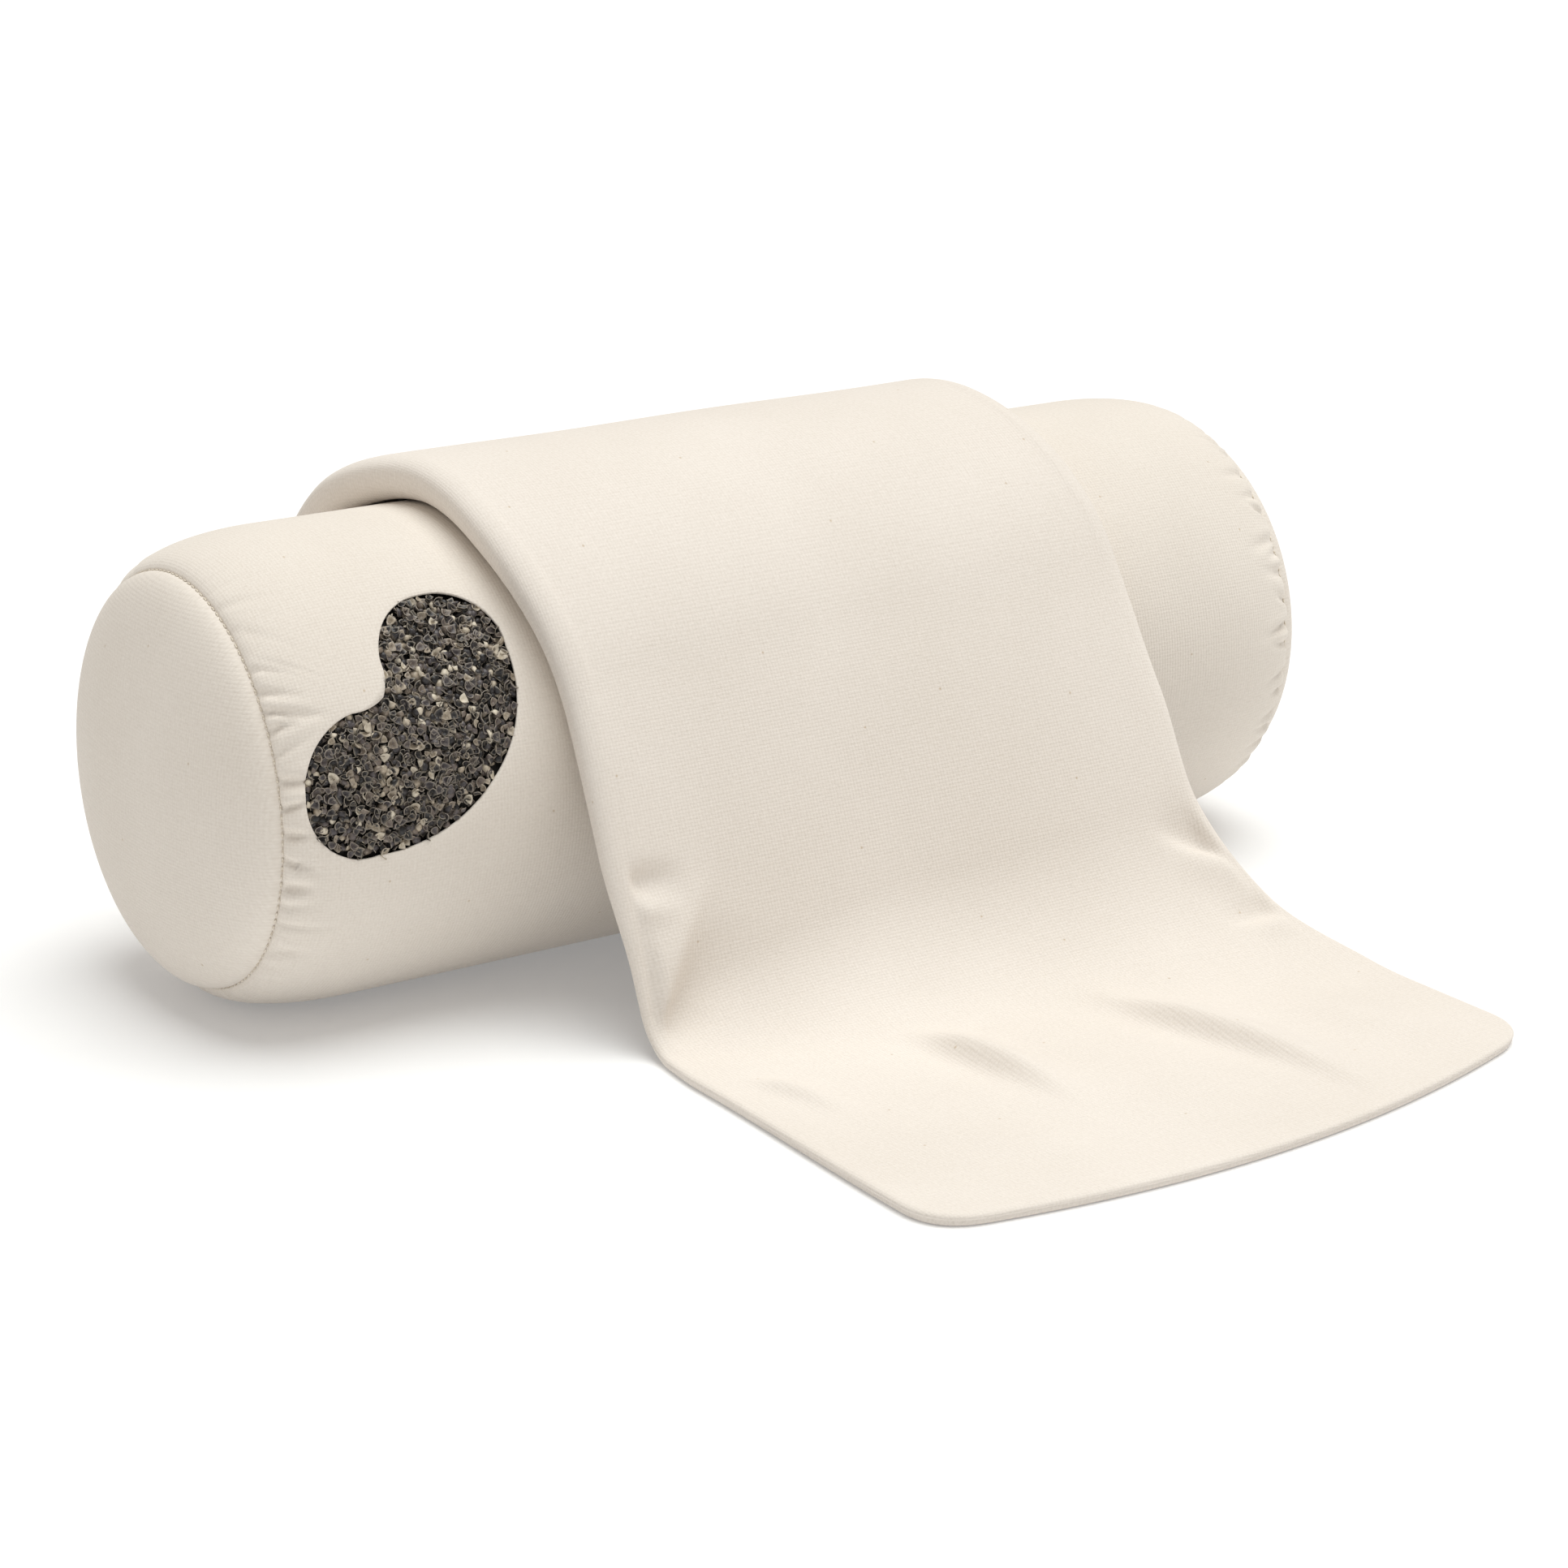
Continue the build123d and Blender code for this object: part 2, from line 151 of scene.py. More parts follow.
# Folds of the cover: start and end as (x, v), half width on each side (the first is on the left of a
# fold that runs forwards), and height (a valley is negative), all in mm.
COVER_FOLDS = (
    ((-101, 200), (-73, 155), 4.0, 9.0, 4.0),
    ((-94, 202), (-67, 168), 10.0, 5.0, -3.0),
    ((-106, 150), (-80, 151), 8.0, 3.5, -3.6),
    ((-106, 159), (-82, 160), 4.0, 7.0, 2.4),
    ((120, 186), (93, 169), 9.0, 4.0, -3.6),
    ((120, 195), (97, 180), 4.5, 8.0, 1.8),
    ((123, 208), (100, 211), 6.0, 3.0, -2.2),
    ((122, 216), (104, 219), 3.5, 6.0, 1.2),
    ((-25, 231), (-18, 297), 4.2, 8.0, 4.8),
    ((-35, 233), (-29, 285), 7.0, 5.0, -1.2),
    ((41, 233), (60, 338), 4.6, 11.0, 5.2),
    ((30, 235), (46, 310), 8.0, 6.0, -1.2),
    ((-88, 240), (-79, 273), 3.4, 6.0, 2.4),
    ((86, 262), (112, 330), 9.0, 9.0, 1.4),
    ((-60, 300), (-40, 345), 10.0, 10.0, 1.0),
)


# ---------------------------------------------------------------- small helpers

def smooth(low, high, value):
    """0 below low, 1 above high, and a soft S between them."""
    share = np.clip((value - low) / (high - low), 0, 1)
    return share * share * (3 - 2 * share)


def wrapped(angle):
    """The same angle, between minus and plus half a turn."""
    return np.angle(np.exp(1j * angle))


def outward_at(angle):
    """The direction straight out from the roll's axis at each angle."""
    return np.stack([np.zeros(len(angle)), -np.sin(angle), np.cos(angle)], axis=-1)


def along_roll(count):
    """The roll's own direction, count times."""
    return np.tile([1.0, 0, 0], (count, 1))


def grid_quads(rows, columns, closed=False, flipped=False, first=0):
    """The quads of a grid of points numbered row by row. closed joins its last column to its first."""
    index = first + np.arange(rows * columns).reshape(rows, columns)
    beside = np.roll(index, -1, axis=1)
    if not closed:
        index, beside = index[:, :-1], beside[:, :-1]
    quads = np.stack([index[:-1], beside[:-1], beside[1:], index[1:]], axis=-1).reshape(-1, 4)
    return quads[:, ::-1] if flipped else quads


def fan(centre, ring, flipped=False):
    """Triangles from one point to a closed ring of points."""
    triangles = np.stack([np.full(len(ring), centre), ring, np.roll(ring, -1)], axis=-1)
    return triangles[:, ::-1] if flipped else triangles


def tube_faces(rows, columns, flipped=False):
    """A tube's quads, and the fans that close its ends from two middle points numbered after its rows."""
    count = rows * columns
    fans = np.concatenate([fan(count, np.arange(columns), flipped=not flipped),
                           fan(count + 1, np.arange(count - columns, count), flipped=flipped)])
    return grid_quads(rows, columns, closed=True, flipped=flipped), fans


def copies(quads, points_each, count):
    """The quads of count copies of one shape, whose points follow each other."""
    return (quads[None] + (np.arange(count) * points_each)[:, None, None]).reshape(-1, 4)


def whole_cells(marked):
    """The cells of a grid whose four corners are all marked."""
    return marked[:-1, :-1] & marked[1:, :-1] & marked[:-1, 1:] & marked[1:, 1:]


def make_piece(name, points, quads, material, body, cloth=None, marks=None, triangles=None,
               replaced=(), weld=True):
    """Makes a mesh piece from whole arrays, welds what coincides, and lets it ride on its body.

    cloth is each point's place on the flat cloth, which becomes the UV map Cloth. marks are
    named values, one for each point.
    """
    triangles = np.zeros((0, 3), int) if triangles is None else triangles
    corners = np.concatenate([quads.ravel(), triangles.ravel()]).astype(np.int32)
    starts = np.concatenate([np.arange(len(quads)) * 4, quads.size + np.arange(len(triangles)) * 3])
    mesh = bpy.data.meshes.new(name)
    mesh.vertices.add(len(points))
    mesh.vertices.foreach_set("co", np.asarray(points, np.float32).ravel())
    mesh.loops.add(len(corners))
    mesh.loops.foreach_set("vertex_index", corners)
    mesh.polygons.add(len(starts))
    mesh.polygons.foreach_set("loop_start", starts.astype(np.int32))
    mesh.update(calc_edges=True)
    if cloth is not None:
        layer = mesh.uv_layers.new(name="Cloth")
        layer.data.foreach_set("uv", np.asarray(cloth, np.float32)[corners].ravel())
    for mark, values in (marks or {}).items():
        attribute = mesh.attributes.new(mark, "FLOAT", "POINT")
        attribute.data.foreach_set("value", np.asarray(values, np.float32))
    mesh.validate()
    if weld:
        tool = bmesh.new()
        tool.from_mesh(mesh)
        bmesh.ops.remove_doubles(tool, verts=tool.verts, dist=0.002 * MM)
        loose = [vertex for vertex in tool.verts if not vertex.link_faces]
        bmesh.ops.delete(tool, geom=loose, context="VERTS")
        tool.to_mesh(mesh)
        tool.free()
    mesh.shade_smooth()
    mesh.materials.append(material)
    piece = bpy.data.objects.new(name, mesh)
    bpy.context.scene.collection.objects.link(piece)
    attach(piece, body)
    if replaced:
        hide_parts(*replaced)
    return piece


def capsule_row(middles, along, outward, length, radius):
    """One stitch at each middle: a bead as long as length along the seam, half sunk in the cloth.

    Each is a tube of six sides whose radius follows a half ellipse, so both ends close in a point.
    """
    steps = np.linspace(-1, 1, 7)
    around = np.arange(6) * TURN / 6
    side = np.cross(along, outward)
    swell = np.sqrt(1 - steps ** 2)
    points = (middles[:, None, None]
              + along[:, None, None] * (steps * length / 2)[None, :, None, None]
              + radius * swell[None, :, None, None]
              * (side[:, None, None] * np.cos(around)[None, None, :, None]
                 + outward[:, None, None] * np.sin(around)[None, None, :, None]))
    rows, columns = len(steps), len(around)
    bead = grid_quads(rows, columns, closed=True, flipped=True)
    return points.reshape(-1, 3), copies(bead, rows * columns, len(middles))


# ---------------------------------------------------------------- materials

MIX_FIRST, MIX_SECOND, MIX_RESULT = 6, 7, 2      # the colour sockets of a Mix node

# real sizes of what the canvas shows
THREAD_SPACING = 1.1 * MM            # about twice as coarse as real canvas, so that the weave shows
SLUB_WIDTH, SLUB_LENGTH = 0.9 * MM, 11 * MM      # thick places in the yarn
FUZZ_SIZE = 0.95 * MM
SHADING_SIZE = 70 * MM
NEP_SPACING = 48 * MM                # specks of seed coat


def linear(hex_colour):
    """An sRGB hex colour as linear red, green, blue and alpha."""
    levels = [int(hex_colour[i:i + 2], 16) / 255 for i in (1, 3, 5)]
    return tuple(c / 12.92 if c <= 0.04045 else ((c + 0.055) / 1.055) ** 2.4 for c in levels) + (1.0,)


def add(tree, kind, *inputs, stops=(), named=None, **settings):
    """Adds a shader node and returns its outputs.

    inputs fill its sockets in order, and named fills others by name: each is a value, or a socket
    to link from. stops are a colour ramp's places and colours, and settings its own properties.
    """
    made = tree.nodes.new("ShaderNode" + kind)
    for name, value in settings.items():
        setattr(made, name, value)
    for number, (place, colour) in enumerate(stops):
        ramp = made.color_ramp.elements
        stop = ramp[number] if number < 2 else ramp.new(place)
        stop.position, stop.color = place, linear(colour)
    for socket, value in [*enumerate(inputs), *(named or {}).items()]:
        if isinstance(value, bpy.types.NodeSocket):
            tree.links.new(value, made.inputs[socket])
        else:
            made.inputs[socket].default_value = value
    return made.outputs


def new_material(name):
    """An empty material and its node tree."""
    material = bpy.data.materials.new(name)
    material.use_nodes = True
    material.node_tree.nodes.clear()
    return material, material.node_tree


def finish_material(tree, **inputs):
    """Closes a material with its principled shader, inputs given by name with _ for a space."""
    named = {name.replace("_", " "): value for name, value in inputs.items()}
    shader = add(tree, "BsdfPrincipled", named=named)
    add(tree, "OutputMaterial", shader["BSDF"])


def cotton_canvas(name, shade, middle, light, thread):
    """Undyed cotton canvas in plain weave, washed once: matt, a little fuzzy, with thick and thin threads.

    The threads cross over and under each other, thread apart: a thread's height is a sine along it,
    turned over from one thread to the next. Thin slubs run along both directions, and a few neps of
    seed coat stay in the yarn.
    """
    material, tree = new_material(name)
    place = add(tree, "UVMap", uv_map="Cloth")["UV"]
    split = add(tree, "SeparateXYZ", place)
    turns = math.pi / thread
    across, along = [
        add(tree, "Math", add(tree, "Math", split[axis], turns, operation="MULTIPLY")[0],
            operation="SINE")[0] for axis in ("X", "Y")]
    crossing = add(tree, "Math", across, along, operation="MULTIPLY")[0]
    warp, weft = [
        add(tree, "Math", add(tree, "Math", wave, operation="ABSOLUTE")[0], crossing, operation=joined)[0]
        for wave, joined in ((across, "ADD"), (along, "SUBTRACT"))]
    weave = add(tree, "Math", warp, weft, operation="MAXIMUM")[0]

    fine, drawn_out = 1 / SLUB_WIDTH, 1 / SLUB_LENGTH
    slubs = [add(tree, "TexNoise", add(tree, "Mapping", place, named={"Scale": scale})[0],
                 named={"Scale": 1.0, "Detail": 2.0}, noise_dimensions="2D")[0]
             for scale in ((fine, drawn_out, 1), (drawn_out, fine, 1))]
    threads = add(tree, "Math", *slubs, operation="ADD")[0]
    fuzz, broad = [
        add(tree, "TexNoise", place, named={"Scale": 1 / size, "Detail": detail}, noise_dimensions="2D")[0]
        for size, detail in ((FUZZ_SIZE, 3.0), (SHADING_SIZE, 2.0))]
    tone = add(tree, "Math", weave, 0.10, -0.20, operation="MULTIPLY_ADD")[0]
    for pattern, weight in ((threads, 0.14), (broad, 0.35), (fuzz, 0.58)):
        tone = add(tree, "Math", pattern, weight, tone, operation="MULTIPLY_ADD")[0]
    colour = add(tree, "ValToRGB", tone, stops=((0, shade), (1, light), (0.5, middle)))["Color"]
    neps = add(tree, "TexVoronoi", place, named={"Scale": 1 / NEP_SPACING},
               voronoi_dimensions="2D")["Distance"]
    speck = add(tree, "ValToRGB", neps, stops=((0, "#DCCFBB"), (0.012, "#FFFFFF")))["Color"]
    mixed = add(tree, "Mix", 1.0, named={MIX_FIRST: colour, MIX_SECOND: speck}, data_type="RGBA",
                blend_type="MULTIPLY")[MIX_RESULT]
    height = add(tree, "Math", threads, 0.4, weave, operation="MULTIPLY_ADD")[0]
    height = add(tree, "Math", fuzz, 1.2, height, operation="MULTIPLY_ADD")[0]
    relief = add(tree, "Bump", named={"Strength": 0.4, "Distance": 0.10 * MM, "Height": height})[0]
    finish_material(tree, Base_Color=mixed, Roughness=0.88, Specular_IOR_Level=0.25,
                    Sheen_Weight=0.10, Sheen_Roughness=0.5, Normal=relief)
    return material


def spun_thread():
    """Spun polyester sewing thread, two plies twisted: a soft shine broken by slanting plies."""
    material, tree = new_material("spun_polyester_thread")
    place = add(tree, "TexCoord")["Object"]
    plies = add(tree, "TexWave", place, named={"Scale": 1 / (2.2 * MM), "Distortion": 1.0},
                bands_direction="DIAGONAL")["Fac"]
    colour = add(tree, "ValToRGB", plies, stops=((0, "#CFC4B2"), (1, "#EBE3D5")))["Color"]
    relief = add(tree, "Bump", named={"Strength": 0.4, "Distance": 0.1 * MM, "Height": plies})[0]
    finish_material(tree, Base_Color=colour, Roughness=0.6, Normal=relief)
    return material


def buckwheat_hull():
    """Dried buckwheat hulls: hard, dark, half-glossy petals with paler broken edges, on which a highlight is
    painted.

    The mark tone gives each hull its own brown or slate, and the mark rim lightens the edge of its cup,
    partly as the edge's own paler colour and partly as painted highlight.
    """
    material, tree = new_material("buckwheat_hull")
    tone = add(tree, "Attribute", attribute_name="tone")["Fac"]
    rim = add(tree, "Attribute", attribute_name="rim")["Fac"]
    place = add(tree, "TexCoord")["Object"]
    veins = add(tree, "TexNoise", place, named={"Scale": 1 / (0.8 * MM), "Detail": 3.0})[0]
    varied = add(tree, "Math", veins, 0.35, add(tree, "Math", tone, 0.175, operation="SUBTRACT")[0],
                 operation="MULTIPLY_ADD")[0]
    browns = ((0, "#121111"), (1, "#E0D6C3"), (0.18, "#302D2F"), (0.38, "#575153"), (0.58, "#6F635A"),
              (0.76, "#AA9D8A"))
    skin = add(tree, "ValToRGB", varied, stops=browns)["Color"]
    edge = add(tree, "ValToRGB", veins, stops=((0, "#7F746A"), (1, "#E8DCC8")))["Color"]
    # painted highlight: the rim's lightening also stands for light catching the hulls' edges
    strength = add(tree, "Math", add(tree, "Math", rim, 6.0, operation="POWER")[0], 0.62,
                   operation="MULTIPLY")[0]
    mixed = add(tree, "Mix", strength, named={MIX_FIRST: skin, MIX_SECOND: edge},
                data_type="RGBA")[MIX_RESULT]
    relief = add(tree, "Bump", named={"Strength": 0.5, "Distance": 0.15 * MM, "Height": veins})[0]
    finish_material(tree, Base_Color=mixed, Roughness=0.42, Normal=relief)
    return material


def hull_mass():
    """The same hulls deeper in the fill, seen only in the gaps between the top ones: painted shade makes them
    nearly black, darkest away from each husk's middle.
    """
    material, tree = new_material("buckwheat_hull_in_shadow")
    place = add(tree, "TexCoord")["Object"]
    husks = add(tree, "TexVoronoi", place, named={"Scale": 1 / (3.2 * MM)})["Distance"]
    # painted shade: hulls of the fill's own brown shown nearly black
    colour = add(tree, "ValToRGB", husks, stops=((0, "#2E2926"), (1, "#0D0B0A"), (0.6, "#1B1816")))["Color"]
    relief = add(tree, "Bump", named={"Strength": 0.8, "Distance": 0.8 * MM, "Height": husks}, invert=True)[0]
    finish_material(tree, Base_Color=colour, Roughness=0.7, Normal=relief)
    return material


def woven_label():
    """Taffeta care label in white polyester, close ribs across it: smooth, slightly shiny, unprinted."""
    material, tree = new_material("polyester_taffeta")
    split = add(tree, "SeparateXYZ", add(tree, "UVMap", uv_map="Cloth")["UV"])
    # the ribs are drawn at 0.5 mm, about twice as coarse as real ones, so that they show
    ribs, threads = [
        add(tree, "Math", add(tree, "Math", split[axis], TURN / spacing, operation="MULTIPLY")[0],
            operation="SINE")[0] for axis, spacing in (("Y", 0.5 * MM), ("X", 0.4 * MM))]
    height = add(tree, "Math", threads, 0.3, ribs, operation="MULTIPLY_ADD")[0]
    shade = add(tree, "Math", height, 0.25, 0.5, operation="MULTIPLY_ADD")[0]
    colour = add(tree, "ValToRGB", shade, stops=((0, "#DCD8D0"), (1, "#F6F4F0")))["Color"]
    relief = add(tree, "Bump", named={"Strength": 0.4, "Distance": 0.08 * MM, "Height": height})[0]
    finish_material(tree, Base_Color=colour, Roughness=0.45, Normal=relief)
    return material


def zip_tape_cloth():
    """Polyester zip tape woven in herringbone, dyed to match the canvas: flat, with fine slanting ribs."""
    material, tree = new_material("polyester_zip_tape")
    split = add(tree, "SeparateXYZ", add(tree, "UVMap", uv_map="Cloth")["UV"])
    zigzag = add(tree, "Math", split["Y"], 2.4 * MM, operation="PINGPONG")[0]
    slanted = add(tree, "Math", split["X"], zigzag, operation="ADD")[0]
    ribs = add(tree, "Math", add(tree, "Math", slanted, TURN / (0.7 * MM), operation="MULTIPLY")[0],
               operation="SINE")[0]
    shade = add(tree, "Math", ribs, 0.5, 0.5, operation="MULTIPLY_ADD")[0]
    colour = add(tree, "ValToRGB", shade, stops=((0, "#D9CFBE"), (1, "#EAE2D4")))["Color"]
    relief = add(tree, "Bump", named={"Strength": 0.5, "Distance": 0.12 * MM, "Height": ribs})[0]
    finish_material(tree, Base_Color=colour, Roughness=0.7, Sheen_Weight=0.1, Normal=relief)
    return material


def nylon_coil():
    """Nylon monofilament wound into coil teeth: cream, slightly translucent, with a smooth plastic shine."""
    material, tree = new_material("nylon_monofilament")
    place = add(tree, "TexCoord")["Object"]
    cloud = add(tree, "TexNoise", place, named={"Scale": 1 / (4 * MM), "Detail": 2.0})[0]
    colour = add(tree, "ValToRGB", cloud, stops=((0, "#DDD2BF"), (1, "#EFE8DA")))["Color"]
    rough = add(tree, "Math", cloud, 0.15, 0.28, operation="MULTIPLY_ADD")[0]
    finish_material(tree, Base_Color=colour, Roughness=rough, IOR=1.53, Subsurface_Weight=0.15,
                    Subsurface_Scale=0.8 * MM)
    return material


def enamelled_zinc():
    """Die-cast zinc with baked cream enamel: even and glossy, a little orange peel, its tone and gloss
    varying a little at random.
    """
    material, tree = new_material("enamelled_zinc")
    place = add(tree, "TexCoord")["Object"]
    peel = add(tree, "TexNoise", place, named={"Scale": 1 / (0.9 * MM), "Detail": 2.0})[0]
    wear = add(tree, "TexNoise", place, named={"Scale": 1 / (3 * MM), "Detail": 4.0})[0]
    colour = add(tree, "ValToRGB", wear, stops=((0, "#CFC5B4"), (1, "#F1ECE2"), (0.6, "#E9E2D5")))["Color"]
    relief = add(tree, "Bump", named={"Strength": 0.15, "Distance": 0.1 * MM, "Height": peel})[0]
    rough = add(tree, "Math", wear, 0.2, 0.18, operation="MULTIPLY_ADD")[0]
    finish_material(tree, Base_Color=colour, Roughness=rough, Coat_Weight=0.4, Normal=relief)
    return material


def white_floor():
    """A white acrylic light table, lit a little from below, so that shadows on it stay pale."""
    material, tree = new_material("white_light_table")
    grain = add(tree, "TexNoise", add(tree, "TexCoord")["Object"], named={"Scale": 40.0, "Detail": 2.0})[0]
    colour = add(tree, "ValToRGB", grain, stops=((0, "#EDEDED"), (1, "#F0F0F0")))["Color"]
    finish_material(tree, Base_Color=colour, Roughness=0.95, Specular_IOR_Level=0.1,
                    Emission_Color=(0.93, 0.96, 1.0, 1.0), Emission_Strength=0.14)
    return material


CASING_CANVAS = cotton_canvas("cotton_canvas_casing", "#D9CFC3", "#E8E0D6", "#F4EDE4", THREAD_SPACING)
COVER_CANVAS = cotton_canvas("cotton_canvas_cover", "#DAD1C5", "#E9E1D8", "#F5EEE6", THREAD_SPACING)
THREAD = spun_thread()
HULL = buckwheat_hull()
HULL_MASS = hull_mass()
LABEL = woven_label()
TAPE = zip_tape_cloth()
COIL = nylon_coil()
ZINC = enamelled_zinc()
FLOOR = white_floor()


# ---------------------------------------------------------------- the zips' places

def zip_place(prefix):
    """Where a zip runs: the cloth's radius there, its angle and its ends in x.

    The angle is negative, as both zips are behind the top line.
    """
    boxes = [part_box(f"{prefix}_{half}_coil") for half in ("upper", "lower")]
    low = Vector(map(min, boxes[0][0], boxes[1][0]))
    high = Vector(map(max, boxes[0][1], boxes[1][1]))
    middle = (low + high) / 2
    below_cloth = 0.4 * MM
    return {"radius": math.hypot(middle.y, middle.z - AXIS_HEIGHT) + below_cloth,
            "angle": -math.atan2(middle.y, middle.z - AXIS_HEIGHT), "start": low.x, "end": high.x}


CASING_ZIP = zip_place("casing_zip")
COVER_ZIP = zip_place("cover_zip")
SLOT_LIP = 4.5 * MM                  # where the cloth begins to turn in beside a chain
SLOT_EDGE = 3.3 * MM                 # where it has gone under
SLOT_DEPTH = 2.0 * MM
SLOT_PAST_CHAIN = 3.0 * MM           # the slot runs this far past the chain's ends
SLOT_END_LIP = 1.2 * MM
UNDER_CLOTH = 0.999                  # a place with more than this slot share is under the cloth


def slot_share(x, across, place):
    """1 inside a zip's slot, 0 on the cloth round it, and a soft lip between them."""
    beside = 1 - smooth(SLOT_EDGE, SLOT_LIP, np.abs(across))
    beyond = np.maximum(place["start"] - x, x - place["end"])
    return beside * (1 - smooth(SLOT_PAST_CHAIN - SLOT_END_LIP, SLOT_PAST_CHAIN, beyond))


# ---------------------------------------------------------------- the roll's surface

rng = np.random.default_rng(7)


def pleat_set(random, strongest, spread):
    """Gathers round one end seam: each pleat's angle, half width, length and depth.

    They are even but for a jitter, and deepest near the angle strongest.
    """
    count = int(TURN * SEAM_RADIUS / PLEAT_SPACING)
    angle = (np.arange(count) + random.uniform(-0.3, 0.3, count)) * TURN / count
    off = wrapped(angle - strongest)
    weight = PLEAT_LEAST + (1 - PLEAT_LEAST) * np.exp(-(off / spread) ** 2)
    weight *= 1 - TOP_CALM * np.exp(-(wrapped(angle) / TOP_CALM_SPREAD) ** 2)
    width = random.uniform(1.2, 2.1, count) * MM
    length = PLEAT_LENGTH * random.uniform(0.55, 1.15, count)
    depth = PLEAT_DEPTH * weight * random.uniform(0.45, 1.15, count)
    lean = random.uniform(-0.35, 0.35, count)
    return np.stack([angle, width, length, depth, lean], axis=-1)


LEFT_PLEATS = pleat_set(rng, math.radians(85), 0.95)
RIGHT_PLEATS = pleat_set(rng, math.radians(70), 1.1)
# each lump wave's rate along the roll in radians a metre, its whole waves round the roll, and its phase
LUMPS = np.stack([rng.uniform(-38, 38, 9), rng.integers(1, 6, 9), rng.uniform(0, TURN, 9)], axis=-1)


def shoulder(x):
    """How far round the shoulder ellipse x is: 0 on the straight body, a quarter turn at the seam."""
    return np.arcsin(np.clip((np.abs(x) - SHOULDER_X) / SHOULDER_LENGTH, 0, 1))


def roll_radius(x):
    """The body's radius, which falls along a quarter ellipse over each shoulder."""
    return SEAM_RADIUS + (ROLL_RADIUS - SEAM_RADIUS) * np.cos(shoulder(x))


def seam_distance(x, side):
    """Length of cloth from an end seam to x, along the shoulder and the straight body."""
    samples = SEAM_X - SEAM_X * np.linspace(0, 1, 1500) ** 2
    radii = roll_radius(samples)
    lengths = np.concatenate([[0], np.cumsum(np.hypot(np.diff(samples), np.diff(radii)))])
    return np.interp(SEAM_X - side * x, SEAM_X - samples, lengths)


def pleats(x, angle, side, chosen):
    """Height of the gathers: each is a narrow valley that starts at the seam and fades along the cloth.

    A valley's section is a bell less a wider, lower one, so the cloth swells a little on both sides
    of it. chosen gives each valley's angle, width, length, depth and lean.
    """
    away = seam_distance(x, side)
    height = np.zeros(np.broadcast(x, angle).shape)
    for middle, width, length, depth, lean in chosen:
        near = away < 1.3 * length
        if not np.any(near):
            continue
        off = wrapped(angle - middle) * SEAM_RADIUS - lean * away
        section = np.exp(-(off / width) ** 2) - 0.40 * np.exp(-(off / (2.3 * width)) ** 2)
        run = (1 - np.exp(-away / PLEAT_RISE)) * (1 - smooth(0.25 * length, 1.25 * length, away))
        height = height - depth * section * run
    return height


def roll_relief(x, angle):
    """Height of the side panel over the plain roll: slow lumps, gathers, the long seam and the zip's slot."""
    lumps = sum(np.sin(rate * x + around * angle + phase) for rate, around, phase in LUMPS) / len(LUMPS)
    height = LUMP_DEPTH * (lumps - 1) * np.cos(shoulder(x))
    height = height + pleats(x, angle, -1, LEFT_PLEATS) + pleats(x, angle, 1, RIGHT_PLEATS)
    across = wrapped(angle - CASING_ZIP["angle"]) * ROLL_RADIUS
    seam_fades = np.cos(shoulder(x))
    height = height - LONG_SEAM_DEPTH * seam_fades * np.exp(-(across / LONG_SEAM_WIDTH) ** 2)
    opening = slot_share(x, across, CASING_ZIP)
    return height * (1 - smooth(0, 0.5, opening)) - SLOT_DEPTH * opening


def rest_on_floor(points):
    """Presses what would be under the floor up to it.

    z becomes half the sum of z and the root of z squared plus a small length squared.
    """
    height = points[..., 2]
    points[..., 2] = 0.5 * (height + np.sqrt(height ** 2 + FLOOR_SOFTNESS ** 2))
    return points


def roll_point(x, angle, out=0.0):
    """The place at (x, angle), moved out along the normal of the cylinder or of the shoulder ellipse."""
    x, angle = np.broadcast_arrays(x, angle)
    turn, radius = shoulder(x), roll_radius(x)
    sideways = (ROLL_RADIUS - SEAM_RADIUS) * np.sin(turn)
    upright = SHOULDER_LENGTH * np.cos(turn)
    size = np.hypot(sideways, upright)
    far = radius + out * upright / size
    points = np.stack([x + out * np.sign(x) * sideways / size, -far * np.sin(angle),
                       AXIS_HEIGHT + far * np.cos(angle)], axis=-1)
    return rest_on_floor(points)


# ---------------------------------------------------------------- the heart window

def arc_through(start, middle, end, count):
    """Points on the circle through three points, from start to end."""
    a, b, c = (complex(*p) for p in (start, middle, end))
    w = (c - a) / (b - a)
    centre = a + (b - a) * (w - abs(w) ** 2) / (2j * w.imag)
    first, through, last = (np.angle(p - centre) for p in (a, b, c))
    sweep = (last - first) % TURN
    if (through - first) % TURN > sweep:
        sweep -= TURN
    turns = first + sweep * np.linspace(0, 1, count)
    ring = centre + abs(a - centre) * np.exp(1j * turns)
    return np.stack([ring.real, ring.imag], axis=-1)


def heart_outline():
    """The whole outline as the radius from HEART_MIDDLE for each direction, half of it mirrored."""
    half = np.concatenate([arc_through(*arc, 60)[:-1] for arc in HEART_ARCS] + [[HEART_ARCS[-1][-1]]]) * MM
    around = np.arctan2(half[:, 1], half[:, 0] - HEART_MIDDLE)
    reach = np.hypot(half[:, 1], half[:, 0] - HEART_MIDDLE)
    order = np.argsort(around)
    around, reach = around[order], reach[order]
    return np.concatenate([-around[::-1], around]), np.concatenate([reach[::-1], reach])


HEART_DIRECTIONS, HEART_REACHES = heart_outline()


def heart_reach(direction):
    """How far the outline is from HEART_MIDDLE in a direction."""
    return np.interp(direction, HEART_DIRECTIONS, HEART_REACHES)


def heart_to_roll(along, across):
    """Turns a place in the heart's plane into (x, angle) on the roll, straight along the window's axis."""
    x = WINDOW_X + along * math.cos(WINDOW_TILT) - across * math.sin(WINDOW_TILT)
    down = -along * math.sin(WINDOW_TILT) - across * math.cos(WINDOW_TILT)
    return x, WINDOW_ANGLE + np.arcsin(down / roll_radius(x))


